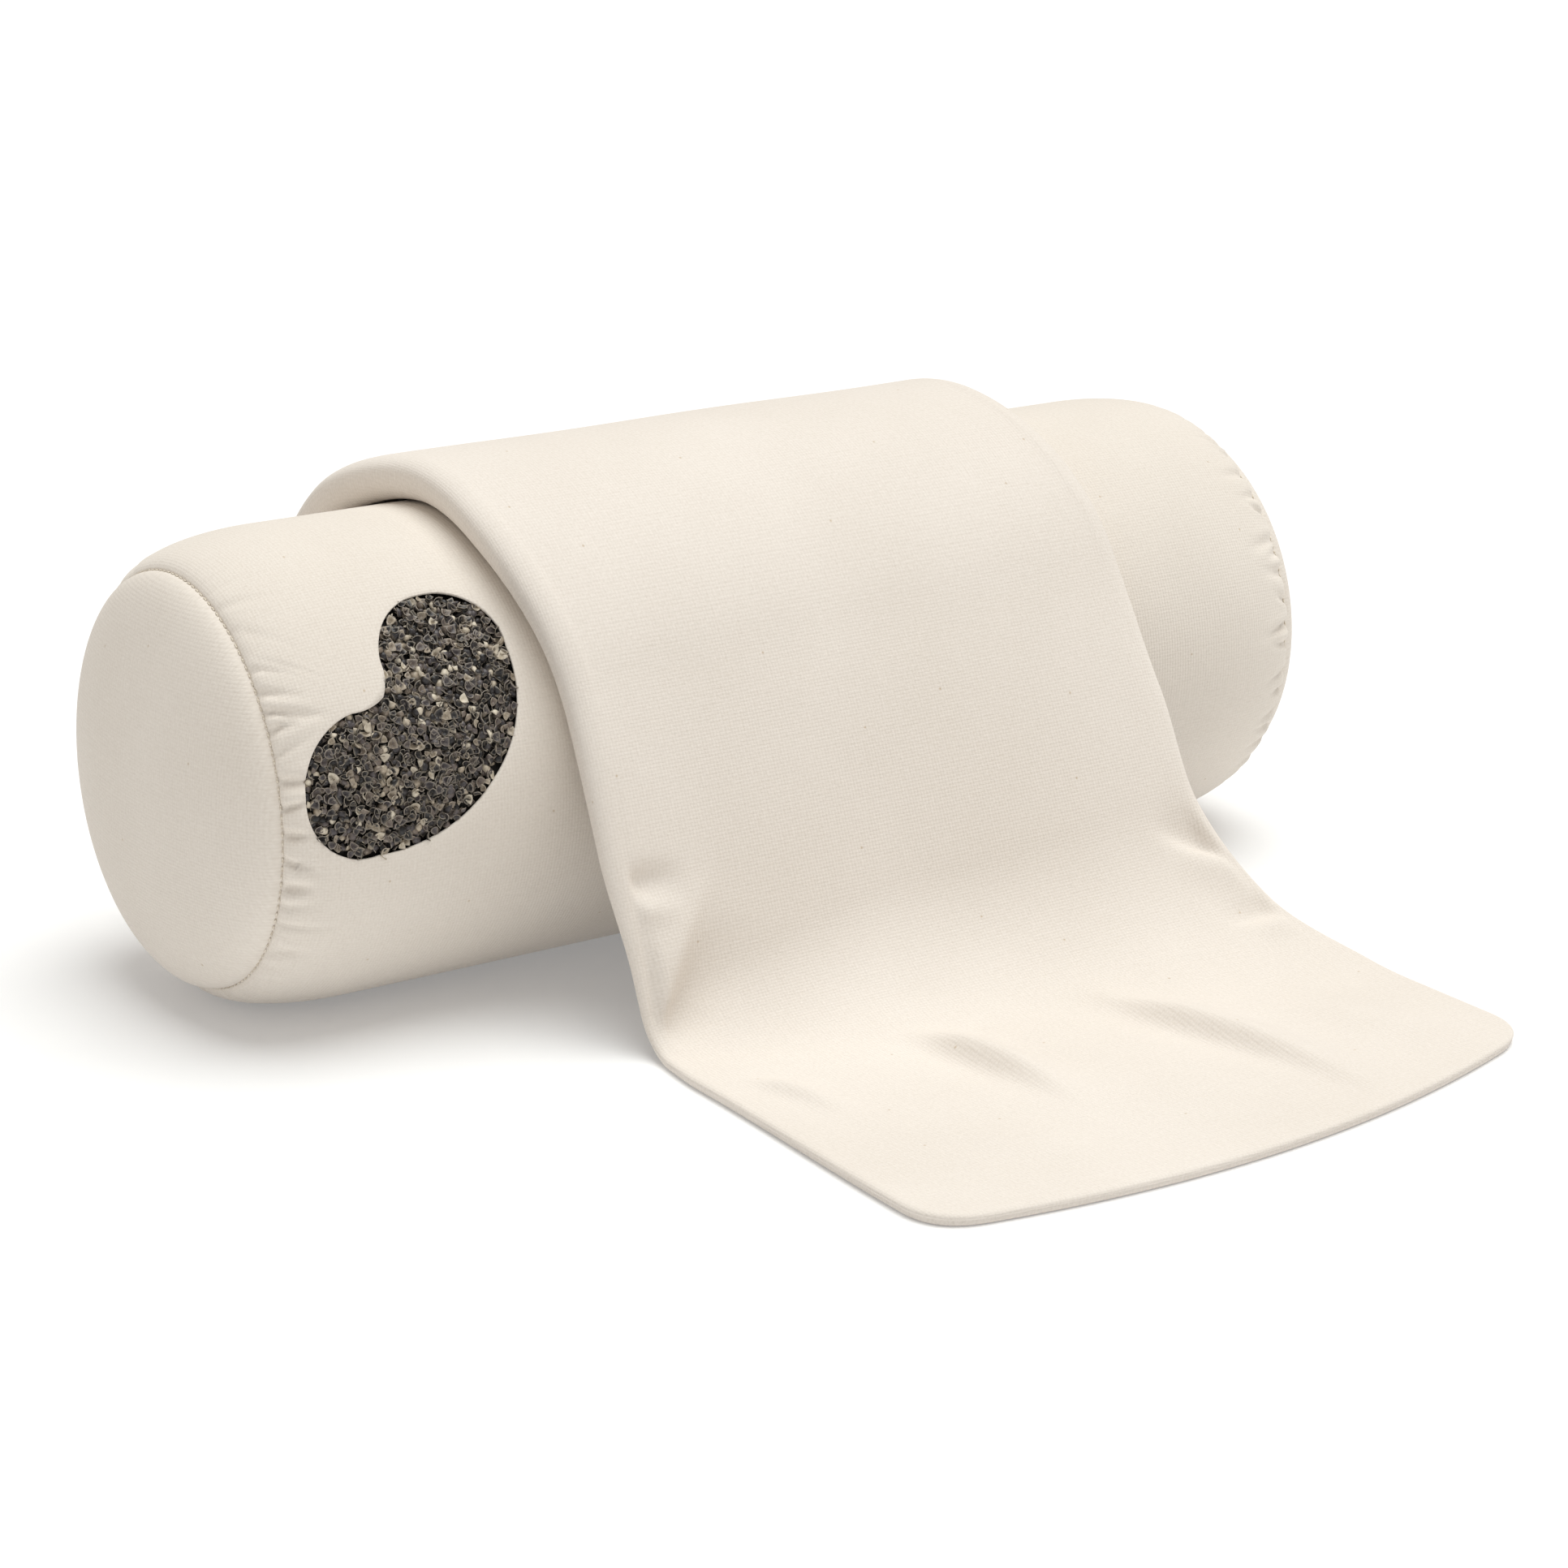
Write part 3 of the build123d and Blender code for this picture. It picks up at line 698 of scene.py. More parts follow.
def roll_to_heart(x, angle):
    """The same, backwards."""
    down = np.sin(angle - WINDOW_ANGLE) * roll_radius(x)
    along = (x - WINDOW_X) * math.cos(WINDOW_TILT) - down * math.sin(WINDOW_TILT)
    across = -(x - WINDOW_X) * math.sin(WINDOW_TILT) - down * math.cos(WINDOW_TILT)
    return along, across


# ---------------------------------------------------------------- the casing

SLOT_END_LINES = (1.5, 2.0, 2.5, 3.0, 3.6)       # extra grid lines past each end of the chain, in mm
SLOT_SIDE_LINES = (0, 1.6, 2.6, SLOT_EDGE / MM, 3.7, 4.1, SLOT_LIP / MM, 5.2, 6.2)   # and beside it
PLAIN_FROM = 7.4 * MM                # past this the grid is even
ALLOWANCE = ((0.3 * MM, 0.5 * MM), (0.6 * MM, 3.0 * MM))     # how far in from the seam, and how deep


def side_panel_lines():
    """The grid's lines: x, close together over the shoulders, and angle, close together beside the zip."""
    turns = np.linspace(0, math.pi / 2, 40)[1:]
    right = SHOULDER_X + SHOULDER_LENGTH * np.sin(turns)
    body = np.linspace(-SHOULDER_X, SHOULDER_X, 121)
    ends = np.array([CASING_ZIP["start"], CASING_ZIP["end"]])
    lips = (ends[:, None] + np.sign(ends)[:, None] * np.array(SLOT_END_LINES) * MM).ravel()
    body = np.sort(np.concatenate([body, lips]))
    beside = np.array(SLOT_SIDE_LINES) * MM / ROLL_RADIUS
    plain = np.linspace(PLAIN_FROM / ROLL_RADIUS, TURN - PLAIN_FROM / ROLL_RADIUS, 452)
    angles = CASING_ZIP["angle"] + np.concatenate([beside, plain, TURN - beside[::-1]])
    return np.concatenate([-right[::-1], body, right]), angles


def window_patch(x_lines, angles):
    """The cloth between a rectangle of the grid and the heart, and the cells that it takes the place of.

    Straight rays run from the rectangle's points to the outline point in the same direction, and
    then comes the hem, which turns under the cloth.
    """
    x_heart, angle_heart = heart_to_roll(HEART_MIDDLE + HEART_REACHES * np.cos(HEART_DIRECTIONS),
                                         HEART_REACHES * np.sin(HEART_DIRECTIONS))
    room = 3.0 * MM
    first_row = np.searchsorted(x_lines, x_heart.min() - room) - 1
    last_row = np.searchsorted(x_lines, x_heart.max() + room)
    first_column = np.searchsorted(angles, angle_heart.min() - room / ROLL_RADIUS) - 1
    last_column = np.searchsorted(angles, angle_heart.max() + room / ROLL_RADIUS)
    rows, columns = np.arange(first_row, last_row), np.arange(first_column, last_column)
    ring = np.concatenate([
        np.stack([rows, np.full(len(rows), first_column)], axis=-1),
        np.stack([np.full(len(columns), last_row), columns], axis=-1),
        np.stack([rows[::-1] + 1, np.full(len(rows), last_column)], axis=-1),
        np.stack([np.full(len(columns), first_row), columns[::-1] + 1], axis=-1)])
    x_ring, angle_ring = x_lines[ring[:, 0]], angles[ring[:, 1]]
    along, across = roll_to_heart(x_ring, angle_ring)
    direction = np.arctan2(across, along - HEART_MIDDLE)
    for corner in (0.0, math.pi):                    # one ray ends exactly on the tip and one on the notch
        nearest = np.argmin(np.abs(wrapped(direction - corner)))
        direction[nearest] = corner
    reach = heart_reach(direction)
    turned_under = reach + HEM_TURN
    x_edge, angle_edge = heart_to_roll(HEART_MIDDLE + reach * np.cos(direction), reach * np.sin(direction))
    x_hem, angle_hem = heart_to_roll(HEART_MIDDLE + turned_under * np.cos(direction),
                                     turned_under * np.sin(direction))
    shares = np.array([0.0, 0.2, 0.4, 0.6, 0.76, 0.88, 0.95, 1.0])[:, None]
    x_patch = x_ring + (x_edge - x_ring) * shares
    angle_patch = angle_ring + (angle_edge - angle_ring) * shares
    out = roll_relief(x_patch, angle_patch) - HEM_SINK * smooth(0.8, 1.0, shares)
    hem_out = roll_relief(x_edge, angle_edge)
    points = [roll_point(x_patch, angle_patch, out).reshape(-1, 3),
              roll_point(x_edge, angle_edge, hem_out - 0.95 * MM),
              roll_point(x_hem, angle_hem, hem_out - 1.5 * MM)]
    cloth = np.stack([np.concatenate([x_patch.ravel(), x_edge, x_hem]),
                      np.concatenate([angle_patch.ravel(), angle_edge, angle_hem]) * ROLL_RADIUS], axis=-1)
    inside = np.zeros((len(x_lines) - 1, len(angles) - 1), bool)
    inside[first_row:last_row, first_column:last_column] = True
    return np.concatenate(points), cloth, len(shares) + 2, len(ring), inside


def make_side_panel():
    """The casing's side panel: one grid round the roll, opened for the window and for the zip's slot."""
    x_lines, angles = side_panel_lines()
    x, angle = np.meshgrid(x_lines, angles, indexing="ij")
    surface = roll_point(x, angle, roll_relief(x, angle))
    cloth_x = np.sign(x_lines) * (seam_distance(np.array([0.0]), 1) - seam_distance(np.abs(x_lines), 1))
    allowance = []
    for end, side in ((0, -1), (-1, 1)):             # the seam allowance, inside the end panel
        rows = []
        for inwards, deep in ALLOWANCE:
            far = SEAM_RADIUS - deep
            rows.append(np.stack([np.full(len(angles), side * (SEAM_X - inwards)), -far * np.sin(angles),
                                  AXIS_HEIGHT + far * np.cos(angles)], axis=-1))
        allowance.append(rows[::side])
    surface = np.concatenate([allowance[0], surface, allowance[1]])
    hidden = np.array([deep for _, deep in ALLOWANCE])
    cloth_rows = np.concatenate([cloth_x[:1] - hidden[::-1], cloth_x, cloth_x[-1:] + hidden])
    cloth = np.stack(np.meshgrid(cloth_rows, angles * ROLL_RADIUS, indexing="ij"), axis=-1)
    rows, columns = surface.shape[:2]

    cells = np.zeros((rows - 1, columns - 1), bool)
    patch, patch_cloth, patch_rows, patch_columns, inside = window_patch(x_lines, angles)
    across = wrapped(angle - CASING_ZIP["angle"]) * ROLL_RADIUS
    open_cells = inside | whole_cells(slot_share(x, across, CASING_ZIP) > UNDER_CLOTH)
    cells[len(ALLOWANCE):-len(ALLOWANCE)] = open_cells
    quads = grid_quads(rows, columns)[~cells.ravel()]
    patch_quads = grid_quads(patch_rows, patch_columns, closed=True, flipped=True, first=rows * columns)
    piece = make_piece("side_panel_canvas", np.concatenate([surface.reshape(-1, 3), patch]),
                       np.concatenate([quads, patch_quads]), CASING_CANVAS, "roll",
                       cloth=np.concatenate([cloth.reshape(-1, 2), patch_cloth]),
                       replaced=("casing_side_panel",))


def make_end_panel(side, name, replaced, chosen):
    """A round end panel: half an ellipsoid on the seam circle, with faint gathers at its rim.

    x is the seam plus the dome's depth times the cosine, and the radius is the seam's times the sine,
    of an angle that runs from the middle out to the seam. It is fuller below its middle.
    """
    rings = np.linspace(0, math.pi / 2, 64)[1:]
    columns = 420
    angles = np.arange(columns) * TURN / columns
    turn, angle = np.meshgrid(rings, angles, indexing="ij")
    rim = SEAM_RADIUS * (math.pi / 2 - turn)
    pull = np.zeros(turn.shape)
    for middle, width, length, depth, _ in chosen:
        off = wrapped(angle - middle - DISC_PLEAT_SHIFT) * SEAM_RADIUS
        section = np.exp(-(off / (1.5 * width)) ** 2) * np.exp(-(rim - 3 * MM) ** 2 / (4 * MM) ** 2)
        pull -= (DISC_PLEAT_DEPTH / PLEAT_DEPTH) * depth * section
    fuller = 1 - DISC_SAG * np.sin(turn) * np.cos(angle)
    across = SEAM_RADIUS * np.sin(turn) * np.sin(angle)
    up = SEAM_RADIUS * np.sin(turn) * np.cos(angle)
    beside_line = across - (12 * MM - 0.36 * (up - 45 * MM))     # a slanting line near the middle
    pressed = PRESSED_LINE_DEPTH * np.exp(-(beside_line / PRESSED_LINE_WIDTH) ** 2) * np.cos(turn)
    bulge = DOME_DEPTH * DISC_BULGE * np.cos(turn) ** DISC_FULLNESS * fuller + pull
    if side < 0:
        bulge = bulge + pressed
    points = np.stack([side * (SEAM_X + bulge), -across, AXIS_HEIGHT + up], axis=-1)
    hem, smaller = points[-1].copy(), 1 - 0.6 * MM / SEAM_RADIUS  # its hem, inside the seam
    hem[:, 0] = side * (SEAM_X - CLOTH)
    hem[:, 1] *= smaller
    hem[:, 2] = AXIS_HEIGHT + (hem[:, 2] - AXIS_HEIGHT) * smaller
    points = np.concatenate([points, hem[None]])
    middle_point = np.array([[side * (SEAM_X + DOME_DEPTH * DISC_BULGE), 0, AXIS_HEIGHT]])
    cloth = np.concatenate([points[..., 1:].reshape(-1, 2), middle_point[:, 1:]])
    quads = grid_quads(len(points), columns, closed=True, flipped=side > 0)
    triangles = fan(len(points) * columns, np.arange(columns), flipped=side < 0)
    piece = make_piece(name, np.concatenate([points.reshape(-1, 3), middle_point]), quads, CASING_CANVAS,
                       "roll", cloth=cloth, triangles=triangles, replaced=(replaced,))


def make_end_stitches(side, name, replaced):
    """Short stitches in the crease between an end panel and the side panel."""
    count = 150
    angle = (np.arange(count) + 0.5) * TURN / count
    radius = SEAM_RADIUS + 0.15 * MM
    outward, along = outward_at(angle), outward_at(angle + TURN / 4)
    middles = outward * radius + np.array([side * (SEAM_X + 0.25 * MM), 0, AXIS_HEIGHT])
    points, quads = capsule_row(middles, along, outward, length=2.1 * MM, radius=0.3 * MM)
    make_piece(name, points, quads, THREAD, "roll", replaced=(replaced,))


def make_long_stitches():
    """Stitches that close the long seam between the zip and each shoulder."""
    step = 2.8 * MM
    past_zip = 5 * MM
    left = np.arange(-SHOULDER_X, CASING_ZIP["start"] - past_zip, step)
    right = np.arange(CASING_ZIP["end"] + past_zip, SHOULDER_X, step)
    x = np.concatenate([left, right])
    angle = np.full(len(x), CASING_ZIP["angle"])
    middles = roll_point(x, angle, roll_relief(x, angle) + 0.05 * MM)
    points, quads = capsule_row(middles, along_roll(len(x)), outward_at(angle),
                                length=2.2 * MM, radius=0.3 * MM)
    make_piece("long_seam_stitches", points, quads, THREAD, "roll",
               replaced=("casing_long_seam_stitching",))


def topstitch_rows(place, surface):
    """Middles and directions of both rows of topstitching beside a zip, on a surface given as a function."""
    beside, past_chain, step = 6.3 * MM, 3 * MM, 3.1 * MM
    x = np.tile(np.arange(place["start"] - past_chain, place["end"] + past_chain, step), 2)
    across = np.repeat([-beside, beside], len(x) // 2)
    angle = place["angle"] + across / place["radius"]
    return surface(x, angle), along_roll(len(x)), outward_at(angle)


# ---------------------------------------------------------------- the hulls

def hull_places(random, deeper):
    """A jittered grid of places inside the heart, deeper below the cloth's face, as (x, angle, out)."""
    line = np.arange(-HULL_FIELD, HULL_FIELD, HULL_SPACING)
    along, across = (values.ravel() for values in np.meshgrid(line, line))
    along = along + random.uniform(-HULL_JITTER, HULL_JITTER, along.shape) * HULL_SPACING
    across = across + random.uniform(-HULL_JITTER, HULL_JITTER, across.shape) * HULL_SPACING
    direction = np.arctan2(across, along - HEART_MIDDLE)
    inside = np.hypot(across, along - HEART_MIDDLE) < heart_reach(direction) - HULL_MARGIN
    x, angle = heart_to_roll(along[inside], across[inside])
    return x, angle, -deeper + random.uniform(-0.35, 0.25, len(x)) * MM


def make_window_hulls():
    """The hulls in the window: small husks, each a cup of three petals split at the rim.

    On a husk the radius grows and the depth falls as a bowl's do from its foot to its rim, the rim
    rises and spreads three times in a turn, and the wall comes back inside it a little smaller.
    """
    random = np.random.default_rng(21)
    layers = [hull_places(random, deeper) for deeper in HULL_LAYERS]
    x, angle, out = (np.concatenate(values) for values in zip(*layers))
    count = len(x)
    middles = roll_point(x, angle, out)
    outward = outward_at(angle)

    size = HULL_RADIUS * random.uniform(0.7, 1.22, count)
    open_share = random.uniform(0.1, 0.75, count)
    flat_share = random.uniform(0.62, 1.0, count)
    lean = np.abs(random.normal(0, 0.6, count)).clip(0, 1.0)
    turned_over = random.uniform(0, 1, count) < 0.45
    lean_towards = random.uniform(0, TURN, count)
    spin = random.uniform(0, TURN, count)
    tone = np.clip(random.beta(0.95, 1.9, count) * 1.2, 0, 1)

    side = along_roll(count)
    up = np.cross(outward, side)
    tilt_axis = side * np.cos(lean_towards)[:, None] + up * np.sin(lean_towards)[:, None]
    facing = outward * np.cos(lean)[:, None] + np.cross(tilt_axis, outward) * np.sin(lean)[:, None]
    facing = np.where(turned_over[:, None], -facing, facing)
    first = tilt_axis * np.cos(spin)[:, None] + np.cross(facing, tilt_axis) * np.sin(spin)[:, None]
    second = np.cross(facing, first)

    share = np.array([0, 0.55, 1.0, 1.0, 0.50, 0])
    wall = np.array([0, 0, 0, -1, -1, -1]) * HULL_WALL
    petals = np.arange(9) * TURN / 9
    lobes = np.cos(3 * petals)
    spread = share[None, :, None] * (1 + 0.20 * lobes[None, None] * share[None, :, None])
    radius = size[:, None, None] * spread + 0.5 * wall[None, :, None]
    bowl = (share[None, :, None] ** 2 * (0.35 + 0.55 * open_share[:, None, None])
            * (1 + 0.28 * lobes[None, None])) - 0.25
    height = size[:, None, None] * bowl - wall[None, :, None]
    points = (middles[:, None, None] + first[:, None, None] * (radius * np.cos(petals))[..., None]
              + second[:, None, None] * (radius * flat_share[:, None, None] * np.sin(petals))[..., None]
              + facing[:, None, None] * height[..., None])
    rows, columns = len(share), len(petals)
    quads = copies(grid_quads(rows, columns, closed=True), rows * columns, count)
    # how much each ring of a husk is lightened: its paler broken edge, and painted highlight on it
    pale_rim_and_highlight = np.array([0, 0.35, 1, 1, 0.5, 0.1])
    marks = {"tone": np.repeat(tone, rows * columns), "rim": np.tile(np.repeat(pale_rim_and_highlight, columns), count)}
    make_piece("window_hull_layer", points.reshape(-1, 3), quads, HULL, "roll", marks=marks,
               replaced=("window_hulls",))


def make_hull_core():
    """The mass of hulls inside the casing: the roll a little smaller, dimpled at the size of a hull.

    The dimples are a sine along the roll times a sine round it, whose phase sways along the roll.
    """
    columns = 180
    body = np.linspace(-SEAM_X + 6 * MM, SEAM_X - 6 * MM, 190)
    x_lines = np.concatenate([[-SEAM_X + 2 * MM], body, [SEAM_X - 2 * MM]])
    x, angle = np.meshgrid(x_lines, np.arange(columns) * TURN / columns, indexing="ij")
    dimples = np.sin(x * TURN / (6.1 * MM)) * np.sin(angle * 62 + 3 * np.sin(x / (9 * MM)))
    surface = roll_point(x, angle, -CORE_DEPTH + CORE_DIMPLES * dimples)
    ends = np.array([[side * (SEAM_X + 0.6 * DOME_DEPTH), 0, AXIS_HEIGHT] for side in (-1, 1)])
    quads, fans = tube_faces(len(x_lines), columns)
    make_piece("hull_fill_core", np.concatenate([surface.reshape(-1, 3), ends]), quads, HULL_MASS, "roll",
               triangles=fans, replaced=("hull_fill",))


# ---------------------------------------------------------------- the cover's surface

def touch_down(x):
    """How far in front of the axis the under face would touch the floor without its bend."""
    return TOUCH_LEFT + (TOUCH_RIGHT - TOUCH_LEFT) * (x - TOUCH_FROM) / TOUCH_WIDTH


def leave_angle(x):
    """The angle at which a straight run from the touch-down line is tangent to the roll."""
    reach = touch_down(x)
    return np.arctan2(AXIS_HEIGHT, reach) + np.arcsin(DRAPE_RADIUS / np.hypot(reach, AXIS_HEIGHT))


def bend_radius(x):
    """The bend onto the floor is widest at the right, and tight at the left edge.

    It grows or shrinks from the middle with the power 1.5 of the way to the side.
    """
    off = (x - BEND_X) / BEND_REACH
    side = np.where(off < 0, BEND_LEFT, BEND_RIGHT)
    return BEND_MIDDLE + (side - BEND_MIDDLE) * np.abs(off) ** 1.5


def drape(x):
    """The drape's side view at x: the straight run's angle, the bend's radius, and the lengths of the
    straight run and of the arc over the roll."""
    angle, bend = leave_angle(x), bend_radius(x)
    run = (AXIS_HEIGHT + DRAPE_RADIUS * np.cos(angle)) / np.sin(angle) - bend * np.tan(angle / 2)
    over = DRAPE_RADIUS * angle
    return angle, bend, run, over


def cover_point(x, v, height):
    """The place at (x, v), height above the cover's under face.

    The side view is an arc about the roll's axis, a straight run down its tangent, an arc that bends
    it onto the floor and a straight run along the floor; v is the length along all four.
    """
    angle, bend, run, over = drape(x)
    on_roll = np.minimum(v, over)
    on_run = np.clip(v - over, 0, run)
    in_bend = np.clip(v - over - run, 0, bend * angle)
    on_floor = np.maximum(v - over - run - bend * angle, 0)
    left = angle - in_bend / bend
    y = (-DRAPE_RADIUS * np.sin(on_roll / DRAPE_RADIUS) - on_run * np.cos(angle)
         - bend * (np.sin(angle) - np.sin(left)) - on_floor)
    z = (AXIS_HEIGHT + DRAPE_RADIUS * np.cos(on_roll / DRAPE_RADIUS) - on_run * np.sin(angle)
         - bend * (np.cos(left) - np.cos(angle)))
    slope = np.where(v < over, v / DRAPE_RADIUS, left)
    return np.stack([x, y - height * np.sin(slope), z + height * np.cos(slope)], axis=-1)


def cover_thickness(v):
    """Both layers and the air between them: most on the roll, nearly flat on the floor."""
    return ROLL_THICKNESS + (FLOOR_THICKNESS - ROLL_THICKNESS) * smooth(95 * MM, 215 * MM, v)


def left_edge(v):
    """x of the left fold: a straight line and its shifts."""
    edge = COVER_LEFT
    for shift, begins, whole in LEFT_SHIFTS:
        edge = edge + shift * MM * smooth(begins * MM, whole * MM, v)
    return edge


def right_edge(v):
    """x of the right fold, further out on the floor, where the bag is flatter and so wider."""
    on_roll = COVER_RIGHT - RIGHT_LEAN * smooth(78 * MM, 5 * MM, v)
    on_floor = FLOOR_RIGHT - on_roll
    pinched = RIGHT_PINCH * smooth(125 * MM, 165 * MM, v) * (1 - smooth(205 * MM, 245 * MM, v))
    return on_roll + on_floor * smooth(105 * MM, 262 * MM, v) - pinched


def front_length(x):
    """v at the front edge, a parabola through three places seen from above."""
    xs, ys = (np.array(values) for values in zip(*FRONT_EDGE))
    edge = np.polyval(np.polyfit(xs, ys, 2), x)
    angle, bend, run, over = drape(x)
    lands = -DRAPE_RADIUS * np.sin(angle) - run * np.cos(angle) - bend * np.sin(angle)
    return over + run + bend * angle + (lands - edge)


def rounded(start, corner, end):
    """A corner rounded by a parabola that leaves start and reaches end along both sides."""
    share = np.linspace(0, 1, CORNER_POINTS)[:, None]
    return (1 - share) ** 2 * start + 2 * share * (1 - share) * corner + share ** 2 * end


def side_line(edge):
    """A side fold on the flat cloth, between its two rounded corners."""
    front = front_length(edge(PAST_FRONT))
    share = np.linspace(0, 1, OUTLINE_POINTS)
    v = COVER_REAR + REAR_CORNER + share * (front - COVER_REAR - REAR_CORNER - FRONT_CORNER)
    return np.stack([edge(v), v], axis=-1)


def cover_outline():
    """The bag's outline on the flat cloth: its left, front, right and rear sides, which meet at the
    middles of its corners."""
    share = np.linspace(0, 1, OUTLINE_POINTS)
    left, right = side_line(left_edge), side_line(right_edge)[::-1]
    x_front = left[-1, 0] + FRONT_CORNER + share * (right[0, 0] - left[-1, 0] - 2 * FRONT_CORNER)
    front = np.stack([x_front, front_length(x_front)], axis=-1)
    x_rear = right[-1, 0] - REAR_CORNER - share * (right[-1, 0] - left[0, 0] - 2 * REAR_CORNER)
    rear = np.stack([x_rear, np.full(OUTLINE_POINTS, COVER_REAR)], axis=-1)
    corners = [rounded(left[-1], np.array([left[-1, 0], front_length(left[-1, 0])]), front[0]),
               rounded(front[-1], np.array([right[0, 0], front_length(right[0, 0])]), right[0]),
               rounded(right[-1], np.array([right[-1, 0], COVER_REAR]), rear[0]),
               rounded(rear[-1], np.array([left[0, 0], COVER_REAR]), left[0])]
    middle = CORNER_POINTS // 2
    return [np.concatenate([corners[number - 1][middle - 1:-1], side, corners[number][1:middle]])
            for number, side in enumerate((left, front, right, rear))]


def spaced(line, count):
    """The same line with count evenly spaced points."""
    lengths = np.concatenate([[0], np.cumsum(np.linalg.norm(np.diff(line, axis=0), axis=1))])
    at = np.linspace(0, lengths[-1], count)
    return np.stack([np.interp(at, lengths, line[:, i]) for i in range(2)], axis=-1)


def cover_rings():
    """The outline as evenly spaced points, the outward direction and the fold's radius at each."""
    left, front, right, rear = cover_outline()
    long_count = int(np.linalg.norm(np.diff(left, axis=0), axis=1).sum() / COVER_STEP)
    wide_count = int(np.linalg.norm(np.diff(front, axis=0), axis=1).sum() / COVER_STEP)
    sides = [spaced(line, count) for line, count in
             ((left, long_count), (front, wide_count), (right, long_count), (rear, wide_count))]
    ring = np.concatenate([side[:-1] for side in sides])
    step = np.roll(ring, -1, axis=0) - np.roll(ring, 1, axis=0)
    outward = np.stack([-step[:, 1], step[:, 0]], axis=-1)
    outward /= np.linalg.norm(outward, axis=1)[:, None]
    radius = np.zeros(len(ring))
    for _ in range(4):                               # the fold's radius belongs to the place where it begins
        radius = cover_thickness(ring[:, 1] - outward[:, 1] * radius) / 2
    return ring, outward, radius, long_count, wide_count


def inside_grid(inset, long_count, wide_count):
    """Fills the inset ring with a grid.

    Each point is the sum of its blends between opposite sides, less the blend of the four corners.
    """
    last = np.cumsum([long_count - 1, wide_count - 1, long_count - 1, wide_count - 1])
    ring = np.concatenate([inset, inset[:1]])
    left = ring[:last[0] + 1]
    front = ring[last[0]:last[1] + 1]
    right = ring[last[1]:last[2] + 1][::-1]
    rear = ring[last[2]:last[3] + 1][::-1]
    s = np.linspace(0, 1, long_count)[:, None, None]
    t = np.linspace(0, 1, wide_count)[None, :, None]
    between = (1 - t) * left[:, None] + t * right[:, None] + (1 - s) * rear[None] + s * front[None]
    corners = ((1 - s) * (1 - t) * rear[0] + (1 - s) * t * rear[-1]
               + s * (1 - t) * front[0] + s * t * front[-1])
    return between - corners


def cover_relief(x, v):
    """Height of the folds: each is a bell across its line, and rises and fades along it.

    A slow swell lies under them, and a fold's line bows a little, as a parabola.
    """
    height = np.zeros(np.shape(x))
    for start, end, first_width, second_width, tall in COVER_FOLDS:
        (x0, v0), (x1, v1) = np.array(start) * MM, np.array(end) * MM
        length = math.hypot(x1 - x0, v1 - v0)
        along = ((x - x0) * (x1 - x0) + (v - v0) * (v1 - v0)) / length ** 2
        bow = 0.03 * length * (4 * along * (1 - along))
        across = ((x - x0) * (v1 - v0) - (v - v0) * (x1 - x0)) / length - bow
        width = np.where(across < 0, first_width, second_width)
        run = smooth(-0.15, 0.30, along) * (1 - smooth(0.45, 1.15, along))
        height += tall * MM * run * np.exp(-(across / (width * MM)) ** 2)
    swell = np.sin(x * 31 + 1.0) * np.sin(v * 24 + 0.6) + 0.6 * np.sin(x * 57 - v * 41)
    return height + SWELL_DEPTH * swell


def edge_share(long_count, wide_count):
    """0 on the grid's border, where the round folds begin, and 1 well inside it."""
    rows, columns = np.arange(long_count), np.arange(wide_count)
    steps = np.minimum(np.minimum(rows, rows[::-1])[:, None], np.minimum(columns, columns[::-1])[None])
    return smooth(0, EDGE_FADE, steps * COVER_STEP)


def rolled_edge(ring, outward, radius, inset):
    """The round fold from the upper face to the under face: half a turn about each place of inset.

    It reaches furthest out at FOLD_HEIGHT, and its groove is a bell across the half turn.
    """
    turns = np.linspace(0, math.pi, 17)[:, None]
    groove = (GROOVE_DEPTH * np.exp(-((turns - GROOVE_TURN) / GROOVE_SPREAD) ** 2)
              * smooth(220 * MM, 300 * MM, ring[:, 1]))
    pinch = 1 - groove / radius
    strip = inset[None] + outward[None] * (radius * np.sin(turns) * pinch)[..., None]
    above, below = 2 * radius * (1 - FOLD_HEIGHT), 2 * radius * FOLD_HEIGHT
    rise = np.where(turns < math.pi / 2, above, below) * np.cos(turns) * pinch
    cloth = inset[None] + outward[None] * (radius * turns)[..., None]
    return cover_point(strip[..., 0], strip[..., 1], below + rise), cloth


